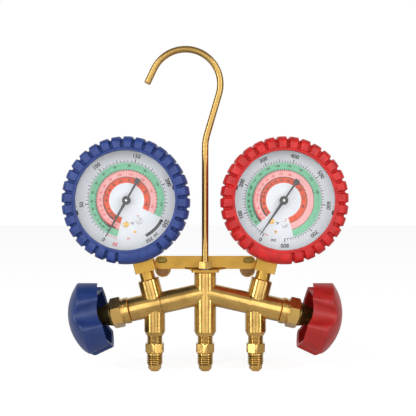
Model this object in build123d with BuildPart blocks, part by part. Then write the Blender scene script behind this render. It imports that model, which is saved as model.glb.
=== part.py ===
"""Refrigerant manifold gauge: a two-valve service manifold with two booted pressure gauges.

The frame: X runs to the high side, Z up, and the gauges face -Y. The origin is on the charging port's
axis, at the lower end of its thread. Millimetres and degrees throughout. "Low" is the -X side and
"high" the +X side. Distances along an arm start where the two arm axes cross, and distances along a
gauge branch start where the port, arm and branch axes cross.
"""

import math
import os

from build123d import *

# ---- Driving dimensions -------------------------------------------------------------------------

SIDES = {"low": -1, "high": 1}
thread_fit = 0.02  # radial gap of a made-up thread or seat
running_fit = 0.05  # radial gap of a shaft that turns or slides in its hole

# Ports and their flare fittings (7/16-20 UNF flare, 1/2 inch hexagon)
port_spacing = 35.5
flare_thread_radius = 11.11 / 2
flare_thread_length = 8.2
flare_root_radius = 4.9
thread_relief = 0.8  # plain neck between a thread and its shoulder
thread_run_out = 0.4
flare_nose_radius = 4.65
flare_nose_length = 5.1
flare_nose_land = 2.7
flow_bore_radius = 2.4
fitting_hex_across = 12.7
fitting_hex_length = 6.3
fitting_shank_radius = 5.35
fitting_neck_length = 5.5
fitting_shank_depth = 6.0

# Manifold body
boss_radius = 7.75
boss_rise = 15.0  # from the arm axes to the boss's top
boss_chamfer = (1.5, 2.8)
leg_radius = 7.35
arm_apex = 49.6
arm_slope = 12.6
inner_arm_radius = 7.65
outer_arm_radius = 8.45
arm_step = 31.0
arm_step_length = 1.2
arm_length = 54.4
gallery_radius = 2.5
seat_distance = 30.0
chamber_radius = 5.5
branch_lean = 14.5
branch_radius = 7.5
branch_length = 18.4
edge_break = 0.7

# Valve bonnet, gland, stem and knob, measured along the arm
bonnet_thread_radius = 6.75
bonnet_thread_length = 8.0
bonnet_collar_radius = 9.25
bonnet_collar_length = 5.3
bonnet_groove_depth = 0.6
bonnet_hex_across = 19.05
bonnet_hex_length = 7.9
bonnet_face_radius = 8.75
bonnet_hex_turn = 23.0  # up from facing forward
stem_thread_radius = 4.3
stem_thread_length = 8.0
stem_waist_radius = 3.0
stem_radius = 3.3
seal_bore_start = 57.5
gland_shank_radius = 5.6
gland_shank_length = 5.0
gland_base_radius = 8.3
gland_tip_radius = 5.0
gland_length = 10.4
seat_disc_radius = 4.2
seat_disc_thickness = 2.6
swivel_radius = 1.5
swivel_depth = 1.5
oring_radius = 0.45
oring_places = (58.6, 60.5)
oring_groove_width = 1.2
knob_apex = 97.7
knob_dome_radius = 36.0
knob_radius = 27.0
knob_rim = 72.0
knob_shoulder = 86.0
knob_rim_radius = 23.8
knob_valley_rim = 75.0
knob_valley_radius = 17.0
scallop_radius = 10.2
knob_wall = 2.5
knob_edge = 1.5
knob_corner = 1.5
knob_lobes = 4
knob_phase = 59.0
knob_rib = 1.6
hub_radius = 6.2
hub_start = 79.0
stem_end = 91.5
stem_flat = 2.5
knob_screw_radius = 1.5
knob_screw_depth = 6.0
knob_screw_head_radius = 3.4
knob_screw_head_height = 2.2
knob_web = 1.6

# Hook, its nut and washer, and the bracket
rod_radius = 4.76 / 2
rod_depth = 9.6
rod_end_gap = 0.5
hook_bend_rise = 92.1  # this and the next from the boss's top
hook_bend_radius = 30.0
hook_radius = 24.6
hook_centre_rise = 132.2
hook_centre_x = -13.9
hook_arc_end = 154.8
hook_tip_length = 11.3
hook_tip_round = 0.8
nut_across = 8.7
nut_height = 4.7
nut_chamfer = 0.6
washer_radius = 4.4
washer_thickness = 0.8
washer_split = 0.8
bracket_thickness = 1.6
bracket_half_length = 36.0
bracket_bottom_rise = 1.4  # from the boss's top
bracket_height = 9.3
bracket_corner = 4.0
bracket_front = 7.5
bracket_bend = 1.6
tab_width = 18.9
tab_front = -8.4
tab_corner = 2.0
tab_flare = 5.2
slot_place = (30.9, 7.6)  # across, and up from the boss's top
slot_size = (7.3, 3.4)
stud_place = (30.5, 0.7)
stud_thread_length = 8.2
stud_collar_radius = 5.0
stud_cup_radius = 4.3
stud_cup_depth = 4.0
tongue_thickness = 1.2
tongue_play = 0.3

# Gauge: stem, case, bezel, lens and boot
gauge_stem_gap = 31.6  # from the arm's axis to the boot
gauge_neck_radius = 5.15
gauge_thread_depth = 7.4
gauge_block_start = 23.9
gauge_block = 14.3
block_corner = 0.6
case_radius = 39.0
case_wall = 1.0
case_back = -10.0
case_back_thickness = 1.2
case_corner = 2.5
case_front = 15.0
gasket_thickness = 1.0
gasket_width = 2.7
lens_thickness = 2.0
bezel_wall = 0.8
bezel_skirt = 4.1
bezel_lip_thickness = 1.2
bezel_lip_width = 3.6
bezel_tab = (2.2, 3.0)
boot_wall = 4.1
boot_back_wall = 2.5
boot_back_lip = 8.0
boot_front_lip = 4.95
boot_front_thickness = 2.8
boot_lip_width = 2.45
boot_shoulder = (1.5, 2.8)  # in from the rim, and back from the front
boot_front_edge_drop = 4.6
boot_back_chamfer = (2.2, 2.8)
block_pitch = 11.25
block_count = 28
notch_share = 0.30
notch_depth = 1.9
dial_back = 8.0
dial_thickness = 0.8
dial_play = 0.7
dial_centre_hole = 2.4
# angle clockwise from the stem, radius, head radius, shank radius
dial_screw_places = ((15.5, 16.7, 2.0, 0.9), (-17.0, 16.7, 2.3, 0.9), (0.0, 22.5, 1.0, 0.6))
dial_screw_head = 0.9

# Gauge movement, in the gauge's own plane: x right, y away from the stem, depth towards the viewer
gear_module = 0.35
pinion_teeth = 12
sector_full_teeth = 96
sector_first_tooth = -12
sector_last_tooth = 1
tooth_share = 0.40
tooth_addendum = 0.75
tooth_dedendum = 1.15
tooth_flank = 20.0
sector_place_angle = -20.06
sector_depth = (0.0, 1.5)
sector_rim = 3.0
sector_hub_radius = 3.0
sector_arbor_radius = 1.0
sector_spoke = 2.2
tail_length = 6.0
tail_swing = 20.25
tail_radius = 1.5
pin_radius = 0.7
tip_slot_inset = 2.75  # from the tube's centre line in to the slot's middle
link_end_radius = 1.3
link_waist = 1.4
link_depth = (1.65, 2.45)
ear_depth = (2.9, 3.8)
ear_play = 0.4
arbor_radius = 0.8
pinion_depth = (-0.3, 1.8)
plate_thickness = 1.2
back_plate_face = -1.3
front_plate_back = 4.8
plate_foot = 24.6
plate_foot_width = 12.0
plate_pivot_radius = 4.6
pillar_radius = 1.2
pillar_places = ((-4.5, 3.6), (-4.5, -20.6), (4.5, -20.6), (22.6, -2.4))
block_top = 26.0
tongue_top = 17.0
spring_depth = (-1.2, -0.6)
spring_inner_radius = 1.5
spring_step = 0.35
spring_half_turns = 8
spring_width = 0.2
bourdon_gap = 9.0  # from the case's wall to the tube's centre line
bourdon_thickness = 3.4
bourdon_depth = (-7.5, 0.7)
bourdon_start = 10.0
bourdon_end = 293.0
tip_block = (8.0, 5.4)
tip_block_inset = 0.2
riser_width = 2.0
pointer_depth = 10.9
pointer_thickness = 0.5
pointer_hub_radius = 3.0
pointer_hub_height = 1.8
pointer_tip = 28.8
pointer_tail = 15.4
pointer_root_width = 2.2
pointer_tip_width = 0.5
pointer_neck_width = 1.3
pointer_block = 3.6
pointer_rest_angle = {"low": 44.0, "high": 20.0}

# ---- Sizes that follow from them ----------------------------------------------------------------

boss_top = arm_apex + boss_rise
hook_bend_height = boss_top + hook_bend_rise
hook_centre = (hook_centre_x, boss_top + hook_centre_rise)
bracket_bottom = boss_top + bracket_bottom_rise
bracket_top = bracket_bottom + bracket_height
slot_centre = (slot_place[0], boss_top + slot_place[1])
stud_centre = (stud_place[0], boss_top + stud_place[1])
hex_start = flare_thread_length
neck_start = hex_start + fitting_hex_length
boss_bottom = neck_start + fitting_neck_length
fitting_top = boss_bottom + fitting_shank_depth
junction_height = arm_apex - port_spacing * math.tan(math.radians(arm_slope))
bonnet_inner = arm_length - bonnet_thread_length
bonnet_hex_start = arm_length + bonnet_collar_length
bonnet_end = bonnet_hex_start + bonnet_hex_length
gland_end = bonnet_end + gland_length
stem_start = seat_distance + seat_disc_thickness
stem_thread_start = bonnet_inner - 0.4
tab_top = boss_top + bracket_thickness
washer_top = tab_top + washer_thickness
nut_top = washer_top + nut_height
bracket_back = bracket_front + bracket_thickness
lens_radius = case_radius - 5 * thread_fit
lens_back = case_front + gasket_thickness
lens_front = lens_back + lens_thickness
bezel_front = lens_front + bezel_lip_thickness
bezel_lip_radius = case_radius - bezel_lip_width
bezel_outer = case_radius + bezel_wall
bezel_back = case_front - bezel_skirt
boot_back = case_back - boot_back_wall
boot_radius = bezel_outer + boot_wall
gauge_distance = boot_radius + gauge_stem_gap
boot_back_opening = case_radius - boot_back_lip
boot_opening = case_radius - boot_front_lip
boot_lip_radius = boot_opening + boot_lip_width
boot_front = bezel_front + boot_front_thickness
boot_front_edge = boot_front - boot_front_edge_drop
dial_radius = case_radius - case_wall - dial_play
bourdon_radius = case_radius - case_wall - bourdon_gap
tip_block_centre_x = bourdon_radius - tip_block_inset
dial_front = dial_back + dial_thickness
pinion_radius = gear_module * pinion_teeth / 2
sector_radius = gear_module * sector_full_teeth / 2
sector_distance = pinion_radius + sector_radius
sector_place = (
    sector_distance * math.cos(math.radians(sector_place_angle)),
    sector_distance * math.sin(math.radians(sector_place_angle)),
)
mesh_angle = 180 + sector_place_angle
tail_place = (
    sector_place[0] - tail_length * math.sin(math.radians(tail_swing)),
    sector_place[1] - tail_length * math.cos(math.radians(tail_swing)),
)
tip_travel = 2 * tail_length * math.sin(math.radians(tail_swing))
tip_slot_middle = bourdon_radius - tip_slot_inset
tip_slot_height = tail_place[1] - tail_length * (1 - math.cos(math.radians(tail_swing))) / 2
link_length = tip_slot_middle - tip_travel / 2 - tail_place[0]
front_plate_face = front_plate_back + plate_thickness
back_plate_back = back_plate_face - plate_thickness


# ---- Planes and shared forms --------------------------------------------------------------------


def arm_plane(side, distance=0.0):
    """Plane across an arm: its normal runs outward along the arm and its x faces forward."""
    slope = math.radians(arm_slope)
    outward = Vector(side * math.cos(slope), 0, -math.sin(slope))
    return Plane(Vector(0, 0, arm_apex) + outward * distance, x_dir=(0, -1, 0), z_dir=outward)


def branch_plane(side, distance=0.0):
    """Plane across a gauge branch: its normal runs up the branch."""
    lean = math.radians(branch_lean)
    upward = Vector(side * math.sin(lean), 0, math.cos(lean))
    start = Vector(side * port_spacing, 0, junction_height)
    return Plane(start + upward * distance, x_dir=(0, -1, 0), z_dir=upward)


def gauge_plane(side, depth=0.0):
    """Plane of a gauge: x is the gauge's right, y points away from its stem, the normal faces the viewer."""
    lean = math.radians(branch_lean)
    centre = branch_plane(side, gauge_distance).origin - Vector(0, depth, 0)
    return Plane(centre, x_dir=(math.cos(lean), 0, -side * math.sin(lean)), z_dir=(0, -1, 0))


def radial_plane(plane, angle=0.0):
    """Plane through a plane's normal: x is the radius at the angle, y runs along the normal."""
    turn = math.radians(angle)
    radius = plane.x_dir * math.cos(turn) + plane.y_dir * math.sin(turn)
    return Plane(plane.origin, x_dir=radius, z_dir=radius.cross(plane.z_dir))


def spun(plane, angle):
    """The same plane with its x turned by the angle about its normal."""
    turn = math.radians(angle)
    return Plane(
        plane.origin,
        x_dir=plane.x_dir * math.cos(turn) + plane.y_dir * math.sin(turn),
        z_dir=plane.z_dir,
    )


def clock(angle, radius):
    """A point of the gauge's plane, by the angle clockwise from the stem and the radius."""
    turn = math.radians(angle)
    return (-radius * math.sin(turn), -radius * math.cos(turn))


def turned(plane, outline, mode=Mode.ADD, start=0.0):
    """Turn an outline of (radius, distance) points about a plane's normal, from a start angle."""
    with BuildSketch(radial_plane(plane, start)) as section:
        with BuildLine():
            Polyline(*outline, close=True)
        make_face()
    revolve(section.sketch, axis=Axis(plane.origin, plane.z_dir), mode=mode)


def rod(plane, radius, start, end, mode=Mode.ADD):
    """A cylinder along a plane's normal."""
    with BuildSketch(plane.offset(start)) as section:
        Circle(radius)
    extrude(section.sketch, amount=end - start, mode=mode)


def hexagon(plane, across, start, end, chamfer_start, chamfer_end, turn=0.0):
    """A hexagon along a plane's normal, with its corners turned off at 30 degrees."""
    corner = across / 2 / math.cos(math.radians(30))
    fall = math.tan(math.radians(30))
    with BuildSketch(plane.offset(start)) as section:
        RegularPolygon(corner, 6, rotation=turn)
    extrude(section.sketch, amount=end - start)
    outline = [(0, start)]
    if chamfer_start:
        outline.append((corner - chamfer_start, start))
    outline += [(corner, start + chamfer_start * fall), (corner, end - chamfer_end * fall)]
    outline += [(corner - chamfer_end, end), (0, end)]
    turned(plane, outline, mode=Mode.INTERSECT)


def gear_tooth(pitch_radius, angle):
    """One tooth: straight flanks, thin enough at the pitch circle to leave backlash."""
    half_pitch = math.pi * gear_module * tooth_share / 2
    slope = math.tan(math.radians(tooth_flank))
    tip = tooth_addendum * gear_module
    root = tooth_dedendum * gear_module
    half_tip = half_pitch - tip * slope
    half_root = half_pitch + root * slope
    outline = [
        (pitch_radius - root - 0.1, -half_root),
        (pitch_radius - root, -half_root),
        (pitch_radius + tip, -half_tip),
        (pitch_radius + tip, half_tip),
        (pitch_radius - root, half_root),
        (pitch_radius - root - 0.1, half_root),
    ]
    turn = math.radians(angle)
    points = [
        (x * math.cos(turn) - y * math.sin(turn), x * math.sin(turn) + y * math.cos(turn))
        for x, y in outline
    ]
    Polygon(*points, align=None)


os.makedirs("parts", exist_ok=True)


def finish(piece, name):
    """Label a finished piece and write it."""
    piece.part.label = name
    export_step(piece.part, f"parts/{name}.step")


# ---- Manifold body and fittings -----------------------------------------------------------------

with BuildPart() as manifold_body:
    chamfer_in, chamfer_up = boss_chamfer
    turned(
        Plane.XY,
        [
            (0, boss_bottom),
            (boss_radius - chamfer_in, boss_bottom),
            (boss_radius, boss_bottom + chamfer_up),
            (boss_radius, boss_top - edge_break),
            (boss_radius - edge_break, boss_top),
            (0, boss_top),
        ],
    )
    for side in SIDES.values():
        leg = Plane((side * port_spacing, 0, 0))
        turned(
            leg,
            [
                (0, boss_bottom),
                (leg_radius - chamfer_in, boss_bottom),
                (leg_radius, boss_bottom + chamfer_up),
                (leg_radius, junction_height),
                (0, junction_height),
            ],
        )
        turned(
            arm_plane(side),
            [
                (0, 0),
                (inner_arm_radius, 0),
                (inner_arm_radius, arm_step),
                (outer_arm_radius, arm_step + arm_step_length),
                (outer_arm_radius, arm_length - edge_break),
                (outer_arm_radius - edge_break, arm_length),
                (0, arm_length),
            ],
        )
        turned(
            branch_plane(side),
            [
                (0, 0),
                (branch_radius, 0),
                (branch_radius, branch_length - edge_break),
                (branch_radius - edge_break, branch_length),
                (0, branch_length),
            ],
        )
    # Drillings
    rod(Plane.XY, fitting_shank_radius + thread_fit, boss_bottom, fitting_top, mode=Mode.SUBTRACT)
    rod(Plane.XY, flow_bore_radius, fitting_top, arm_apex, mode=Mode.SUBTRACT)
    rod(Plane.XY, rod_radius + running_fit, boss_top - rod_depth - rod_end_gap, boss_top, mode=Mode.SUBTRACT)
    for side in SIDES.values():
        leg = Plane((side * port_spacing, 0, 0))
        rod(leg, fitting_shank_radius + thread_fit, boss_bottom, fitting_top, mode=Mode.SUBTRACT)
        rod(leg, flow_bore_radius, fitting_top, junction_height, mode=Mode.SUBTRACT)
        rod(arm_plane(side), gallery_radius, 0, seat_distance, mode=Mode.SUBTRACT)
        rod(arm_plane(side), chamber_radius, seat_distance, bonnet_inner, mode=Mode.SUBTRACT)
        rod(arm_plane(side), bonnet_thread_radius + thread_fit, bonnet_inner, arm_length, mode=Mode.SUBTRACT)
        rod(branch_plane(side), flow_bore_radius, 0, branch_length, mode=Mode.SUBTRACT)
        neck = branch_plane(side, branch_length - gauge_thread_depth)
        rod(neck, gauge_neck_radius + thread_fit, 0, gauge_thread_depth, mode=Mode.SUBTRACT)
finish(manifold_body, "manifold_body")


def make_fitting(name, x):
    """Male flare fitting: nose, thread, hexagon, and a shank that screws into the body."""
    axis = Plane((x, 0, 0))
    with BuildPart() as fitting:
        hexagon(axis, fitting_hex_across, hex_start, neck_start, 0.7, 0.5, turn=90)
        turned(
            axis,
            [
                (0, -flare_nose_length),
                (flare_nose_land, -flare_nose_length),
                (flare_nose_radius, -flare_nose_length + flare_nose_radius - flare_nose_land),
                (flare_nose_radius, -0.5),
                (flare_thread_radius - 0.5, -0.5),
                (flare_thread_radius, 0),
                (flare_thread_radius, hex_start - thread_relief - thread_run_out),
                (flare_root_radius, hex_start - thread_relief),
                (flare_root_radius, hex_start),
                (0, hex_start),
            ],
        )
        rod(axis, fitting_shank_radius, neck_start, fitting_top)
        rod(axis, flow_bore_radius, -flare_nose_length, fitting_top, mode=Mode.SUBTRACT)
    finish(fitting, name)


make_fitting("charging_fitting", 0)
for side_name, side in SIDES.items():
    make_fitting(f"{side_name}_side_fitting", side * port_spacing)

# ---- Hook, nut, washer, bracket and parking studs -----------------------------------------------

# The hook's straight lean is the tangent from the bend's corner to the hook's circle.
hook_away = math.hypot(hook_centre[0], hook_centre[1] - hook_bend_height)
hook_lean = math.atan2(hook_centre[0], hook_centre[1] - hook_bend_height) + math.asin(hook_radius / hook_away)
bend_leg = hook_bend_radius * math.tan(hook_lean / 2)
arc_start = -math.degrees(hook_lean)
arc_end = math.radians(hook_arc_end)
with BuildPart() as hanging_hook:
    with BuildLine(Plane.XZ) as centreline:
        shank = Line((0, boss_top - rod_depth), (0, hook_bend_height - bend_leg))
        bend = JernArc(shank @ 1, (0, 1), hook_bend_radius, arc_start)
        top = CenterArc(hook_centre, hook_radius, arc_start, hook_arc_end - arc_start)
        Line(bend @ 1, top @ 0)
        Line(top @ 1, top @ 1 + Vector(-math.sin(arc_end), 0, math.cos(arc_end)) * hook_tip_length)
    with BuildSketch(Plane.XY.offset(boss_top - rod_depth)):
        Circle(rod_radius)
    sweep()
    tip_face = hanging_hook.faces().filter_by(GeomType.PLANE).sort_by(Axis.X)[0]
    fillet(tip_face.edges(), hook_tip_round)
finish(hanging_hook, "hanging_hook")

with BuildPart() as hook_nut:
    hexagon(Plane.XY, nut_across, washer_top, nut_top, 0, nut_chamfer, turn=90)
    rod(Plane.XY, rod_radius, washer_top, nut_top, mode=Mode.SUBTRACT)
finish(hook_nut, "hook_nut")

with BuildPart() as hook_lock_washer:
    rod(Plane.XY, washer_radius, tab_top, washer_top)
    rod(Plane.XY, rod_radius + 2 * running_fit, tab_top, washer_top, mode=Mode.SUBTRACT)
    with Locations(Plane((washer_radius / 2, 0, tab_top + washer_thickness / 2)).rotated((45, 0, 0))):
        Box(washer_radius + 1, washer_split, 4 * washer_thickness, mode=Mode.SUBTRACT)
finish(hook_lock_washer, "hook_lock_washer")

with BuildPart() as hook_bracket:
    # The upright strip, its end corners and slots
    with BuildSketch(Plane.XZ.offset(-bracket_back)):
        height = bracket_top - bracket_bottom
        with Locations((0, bracket_bottom + height / 2)):
            RectangleRounded(2 * bracket_half_length, height, bracket_corner)
        with Locations(*[(side * slot_centre[0], slot_centre[1]) for side in SIDES.values()]):
            SlotOverall(*slot_size, mode=Mode.SUBTRACT)
    extrude(amount=bracket_thickness)
    # The forward tab and its bend, as a bent strip of the same thickness
    with BuildSketch(Plane.YZ.offset(-tab_width / 2)):
        outer = bracket_bend + bracket_thickness
        with BuildLine():
            Polyline(
                (tab_front, boss_top),
                (bracket_back - outer, boss_top),
            )
            RadiusArc((bracket_back - outer, boss_top), (bracket_back, boss_top + outer), -outer)
            Polyline(
                (bracket_back, boss_top + outer),
                (bracket_back, bracket_top - bracket_corner),
                (bracket_front, bracket_top - bracket_corner),
                (bracket_front, boss_top + outer),
            )
            RadiusArc((bracket_front, boss_top + outer), (bracket_back - outer, tab_top), bracket_bend)
            Polyline((bracket_back - outer, tab_top), (tab_front, tab_top), (tab_front, boss_top))
        make_face()
    extrude(amount=tab_width)
    # The strip's lower edge runs down into the sides of the bend
    flare_end = tab_width / 2 + tab_flare
    with BuildPart(mode=Mode.PRIVATE) as flares:
        with BuildSketch(Plane.YZ.offset(-flare_end)):
            with Locations((bracket_back - outer, boss_top + outer)):
                Circle(outer)
                Circle(bracket_bend, mode=Mode.SUBTRACT)
                Rectangle(outer, outer, align=(Align.MIN, Align.MAX), mode=Mode.INTERSECT)
        extrude(amount=2 * flare_end)
        flare_radius = (tab_flare**2 + bracket_bottom_rise**2) / (2 * bracket_bottom_rise)
        with BuildSketch(Plane.XZ.offset(-bracket_back)) as reach:
            with BuildLine():
                RadiusArc((-flare_end, bracket_bottom), (-tab_width / 2, boss_top), flare_radius)
                Polyline((-tab_width / 2, boss_top), (tab_width / 2, boss_top))
                RadiusArc((tab_width / 2, boss_top), (flare_end, bracket_bottom), flare_radius)
                Polyline(
                    (flare_end, bracket_bottom),
                    (flare_end, boss_top + outer),
                    (-flare_end, boss_top + outer),
                    (-flare_end, bracket_bottom),
                )
            make_face()
        extrude(reach.sketch, amount=outer, mode=Mode.INTERSECT)
    add(flares.part)
    front_corners = hook_bracket.edges().filter_by(Axis.Z).group_by(Axis.Y)[0]
    fillet(front_corners, tab_corner)
    rod(Plane.XY, rod_radius + 3 * running_fit, boss_top, tab_top, mode=Mode.SUBTRACT)
finish(hook_bracket, "hook_bracket")


def make_parking_stud(name, side):
    """Blank flare stud for a hose end, with a flat tongue staked through the bracket's slot."""
    stud_x, stud_z = side * stud_centre[0], stud_centre[1]
    axis = Plane((stud_x, 0, stud_z), x_dir=(1, 0, 0), z_dir=(0, 1, 0))
    shoulder = bracket_back + tongue_thickness
    end = shoulder + stud_thread_length
    with BuildPart() as stud:
        turned(
            axis,
            [
                (0, bracket_back),
                (stud_collar_radius, bracket_back),
                (stud_collar_radius, shoulder),
                (flare_root_radius, shoulder),
                (flare_root_radius, shoulder + thread_relief),
                (flare_thread_radius, shoulder + thread_relief + thread_run_out),
                (flare_thread_radius, end - 0.5),
                (flare_thread_radius - 0.5, end),
                (flare_nose_radius, end),
                (flare_nose_radius, end + 1),
                (flare_nose_land, end + 1 + flare_nose_radius - flare_nose_land),
                (0, end + 1 + flare_nose_radius - flare_nose_land),
            ],
        )
        slot_x, slot_z = slot_centre
        width = slot_size[0] - 2 * tongue_play
        height = slot_size[1] - 2 * tongue_play
        top = slot_z + height / 2
        with Locations((side * slot_x, bracket_back + tongue_thickness / 2, (stud_z + top) / 2)):
            Box(width, tongue_thickness, top - stud_z)
        with BuildSketch(Plane.XZ.offset(-bracket_back)) as stub:
            with Locations((side * slot_x, slot_z)):
                SlotOverall(width, height)
        extrude(stub.sketch, amount=bracket_thickness - 0.4)
        rod(axis, stud_cup_radius, bracket_back, bracket_back + stud_cup_depth, mode=Mode.SUBTRACT)
    finish(stud, name)


for side_name, side in SIDES.items():
    make_parking_stud(f"{side_name}_parking_stud", side)

# ---- Valves -------------------------------------------------------------------------------------


def make_bonnet(name, side):
    """Bonnet: thread into the arm, grooved collar, hexagon, stem thread and seal bore."""
    axis = arm_plane(side)
    corner = bonnet_hex_across / 2 / math.cos(math.radians(30))
    groove = bonnet_hex_start - 1.9
    with BuildPart() as bonnet:
        turn = -side * bonnet_hex_turn
        far_chamfer = corner - bonnet_face_radius
        hexagon(axis, bonnet_hex_across, bonnet_hex_start, bonnet_end, 0.8, far_chamfer, turn)
        turned(
            axis,
            [
                (0, bonnet_inner),
                (bonnet_thread_radius - 0.5, bonnet_inner),
                (bonnet_thread_radius, bonnet_inner + 0.5),
                (bonnet_thread_radius, arm_length),
                (bonnet_collar_radius - 0.4, arm_length),
                (bonnet_collar_radius, arm_length + 0.4),
                (bonnet_collar_radius, groove),
                (bonnet_collar_radius - bonnet_groove_depth, groove + 0.2),
                (bonnet_collar_radius - bonnet_groove_depth, groove + 1.0),
                (bonnet_collar_radius, groove + 1.2),
                (bonnet_collar_radius, bonnet_hex_start),
                (0, bonnet_hex_start),
            ],
        )
        rod(axis, stem_thread_radius + running_fit, bonnet_inner, seal_bore_start, mode=Mode.SUBTRACT)
        rod(axis, stem_radius + running_fit, seal_bore_start, bonnet_end, mode=Mode.SUBTRACT)
        gland_seat = bonnet_end - gland_shank_length
        rod(axis, gland_shank_radius + thread_fit, gland_seat, bonnet_end, mode=Mode.SUBTRACT)
    finish(bonnet, name)


def make_gland(name, side):
    """Gland: a shank in the bonnet and a cone that follows the stem out."""
    axis = arm_plane(side)
    with BuildPart() as gland:
        turned(
            axis,
            [
                (0, bonnet_end - gland_shank_length),
                (gland_shank_radius, bonnet_end - gland_shank_length),
                (gland_shank_radius, bonnet_end),
                (gland_base_radius, bonnet_end),
                (gland_base_radius, bonnet_end + 0.8),
                (gland_tip_radius, gland_end),
                (0, gland_end),
            ],
        )
        rod(axis, stem_radius + running_fit, bonnet_end - gland_shank_length, gland_end, mode=Mode.SUBTRACT)
    finish(gland, name)


def make_seat_disc(name, side):
    """Seat disc: closes the gallery and swivels on the stem's spigot."""
    axis = arm_plane(side, seat_distance)
    with BuildPart() as disc:
        turned(
            axis,
            [
                (0, 0),
                (seat_disc_radius - 0.6, 0),
                (seat_disc_radius, 0.6),
                (seat_disc_radius, seat_disc_thickness),
                (0, seat_disc_thickness),
            ],
        )
        pocket = seat_disc_thickness - swivel_depth
        rod(axis, swivel_radius + running_fit, pocket, seat_disc_thickness, mode=Mode.SUBTRACT)
    finish(disc, name)


def stem_flats(side, start, end, radius):
    """Two flats on a round: the drive between stem and knob."""
    with BuildSketch(arm_plane(side, start)) as drive:
        Circle(radius)
        Rectangle(2 * stem_flat, 2 * radius, mode=Mode.INTERSECT)
    return drive.sketch, end - start


def make_stem(name, side):
    """Stem: spigot, waist, thread, grooved seal length and flatted drive end."""
    axis = arm_plane(side)
    with BuildPart() as stem:
        outline = [
            (0, stem_start - swivel_depth + 0.3),
            (swivel_radius, stem_start - swivel_depth + 0.3),
            (swivel_radius, stem_start + 0.2),
            (stem_waist_radius, stem_start + 0.2),
            (stem_waist_radius, stem_thread_start - 1),
            (stem_thread_radius, stem_thread_start),
            (stem_thread_radius, stem_thread_start + stem_thread_length),
            (stem_radius, stem_thread_start + stem_thread_length + 0.8),
        ]
        groove_radius = stem_radius - 2 * oring_radius
        for place in oring_places:
            near, far = place - oring_groove_width / 2, place + oring_groove_width / 2
            outline += [(stem_radius, near), (groove_radius, near), (groove_radius, far), (stem_radius, far)]
        outline += [(stem_radius, hub_start), (0, hub_start)]
        turned(axis, outline)
        drive, length = stem_flats(side, hub_start, stem_end, stem_radius)
        extrude(drive, amount=length)
        rod(axis, knob_screw_radius, stem_end - knob_screw_depth, stem_end, mode=Mode.SUBTRACT)
    finish(stem, name)


def make_orings(name, side):
    """The stem's two O-rings, in their grooves."""
    with BuildPart() as orings:
        for place in oring_places:
            with Locations(arm_plane(side, place)):
                Torus(stem_radius - oring_radius, oring_radius)
    finish(orings, name)


def knob_form(side, inset, start):
    """Lobed and flared form of a knob under its dome, moved inward by inset, from a given distance."""
    flare = math.degrees(math.atan2(knob_radius - knob_rim_radius, knob_shoulder - knob_rim))
    first_valley = -side * knob_phase + 180 / knob_lobes
    with BuildPart() as form:
        with BuildSketch(arm_plane(side, start)) as lobes:
            Circle(knob_rim_radius - inset)
            with PolarLocations(knob_valley_radius + scallop_radius, knob_lobes, start_angle=first_valley):
                Circle(scallop_radius + inset, mode=Mode.SUBTRACT)
            fillet(lobes.vertices(), knob_corner)
        extrude(lobes.sketch, amount=knob_apex - start, taper=-flare)
        with Locations(arm_plane(side, knob_apex - knob_dome_radius)):
            Sphere(knob_dome_radius - inset, mode=Mode.INTERSECT)
    return form.part


def make_knob(name, side):
    """Hollow knob with four lobes: domed shell, hub on the stem's flats, ribs and a screw recess."""
    axis = arm_plane(side)
    with BuildPart() as cavity:
        add(knob_form(side, knob_wall, knob_rim - 1))
        # Hub and ribs stay solid
        rod(axis, hub_radius, hub_start, knob_apex, mode=Mode.SUBTRACT)
        with BuildSketch(arm_plane(side, hub_start)) as ribs:
            with PolarLocations(0, knob_lobes // 2, start_angle=-side * knob_phase, angular_range=180):
                Rectangle(3 * knob_radius, knob_rib)
        extrude(ribs.sketch, amount=knob_apex - hub_start, mode=Mode.SUBTRACT)
    with BuildPart() as knob:
        add(knob_form(side, 0, knob_rim - 1))
        # The rim is conical, so that it stands further out between the lobes
        rise = (knob_valley_rim - knob_rim) / (knob_rim_radius - knob_valley_radius)
        far = 2 * knob_radius
        trim = [
            (0, knob_rim - far),
            (far, knob_rim - far),
            (far, knob_rim - (far - knob_rim_radius) * rise),
            (knob_valley_radius, knob_valley_rim),
            (0, knob_valley_rim),
        ]
        turned(axis, trim, mode=Mode.SUBTRACT)
        outer_edges = knob.edges().filter_by(
            lambda edge: (edge.center() - axis.origin).dot(axis.z_dir) > (knob_valley_rim + knob_rim) / 2 + 4
        )
        fillet(outer_edges, knob_edge)
        add(cavity.part, mode=Mode.SUBTRACT)
        drive, length = stem_flats(side, hub_start - 1, stem_end, stem_radius)
        extrude(drive, amount=length, mode=Mode.SUBTRACT)
        rod(axis, knob_screw_radius, stem_end, stem_end + knob_web, mode=Mode.SUBTRACT)
        rod(axis, knob_screw_head_radius + 0.6, stem_end + knob_web, knob_apex + 1, mode=Mode.SUBTRACT)
    finish(knob, name)


def make_knob_screw(name, side):
    """Slotted screw that holds the knob on its stem."""
    seat = stem_end + knob_web
    axis = arm_plane(side)
    with BuildPart() as screw:
        rod(axis, knob_screw_radius, stem_end - knob_screw_depth + 0.5, seat)
        rod(axis, knob_screw_head_radius, seat, seat + knob_screw_head_height)
        rim = screw.faces().sort_by(Axis(axis.origin, axis.z_dir))[-1].edges()
        fillet(rim, 0.6)
        with BuildSketch(arm_plane(side, seat + knob_screw_head_height - 0.9)) as slot:
            Rectangle(2 * knob_screw_head_radius, 0.9)
        extrude(slot.sketch, amount=1, mode=Mode.SUBTRACT)
    finish(screw, name)


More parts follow.
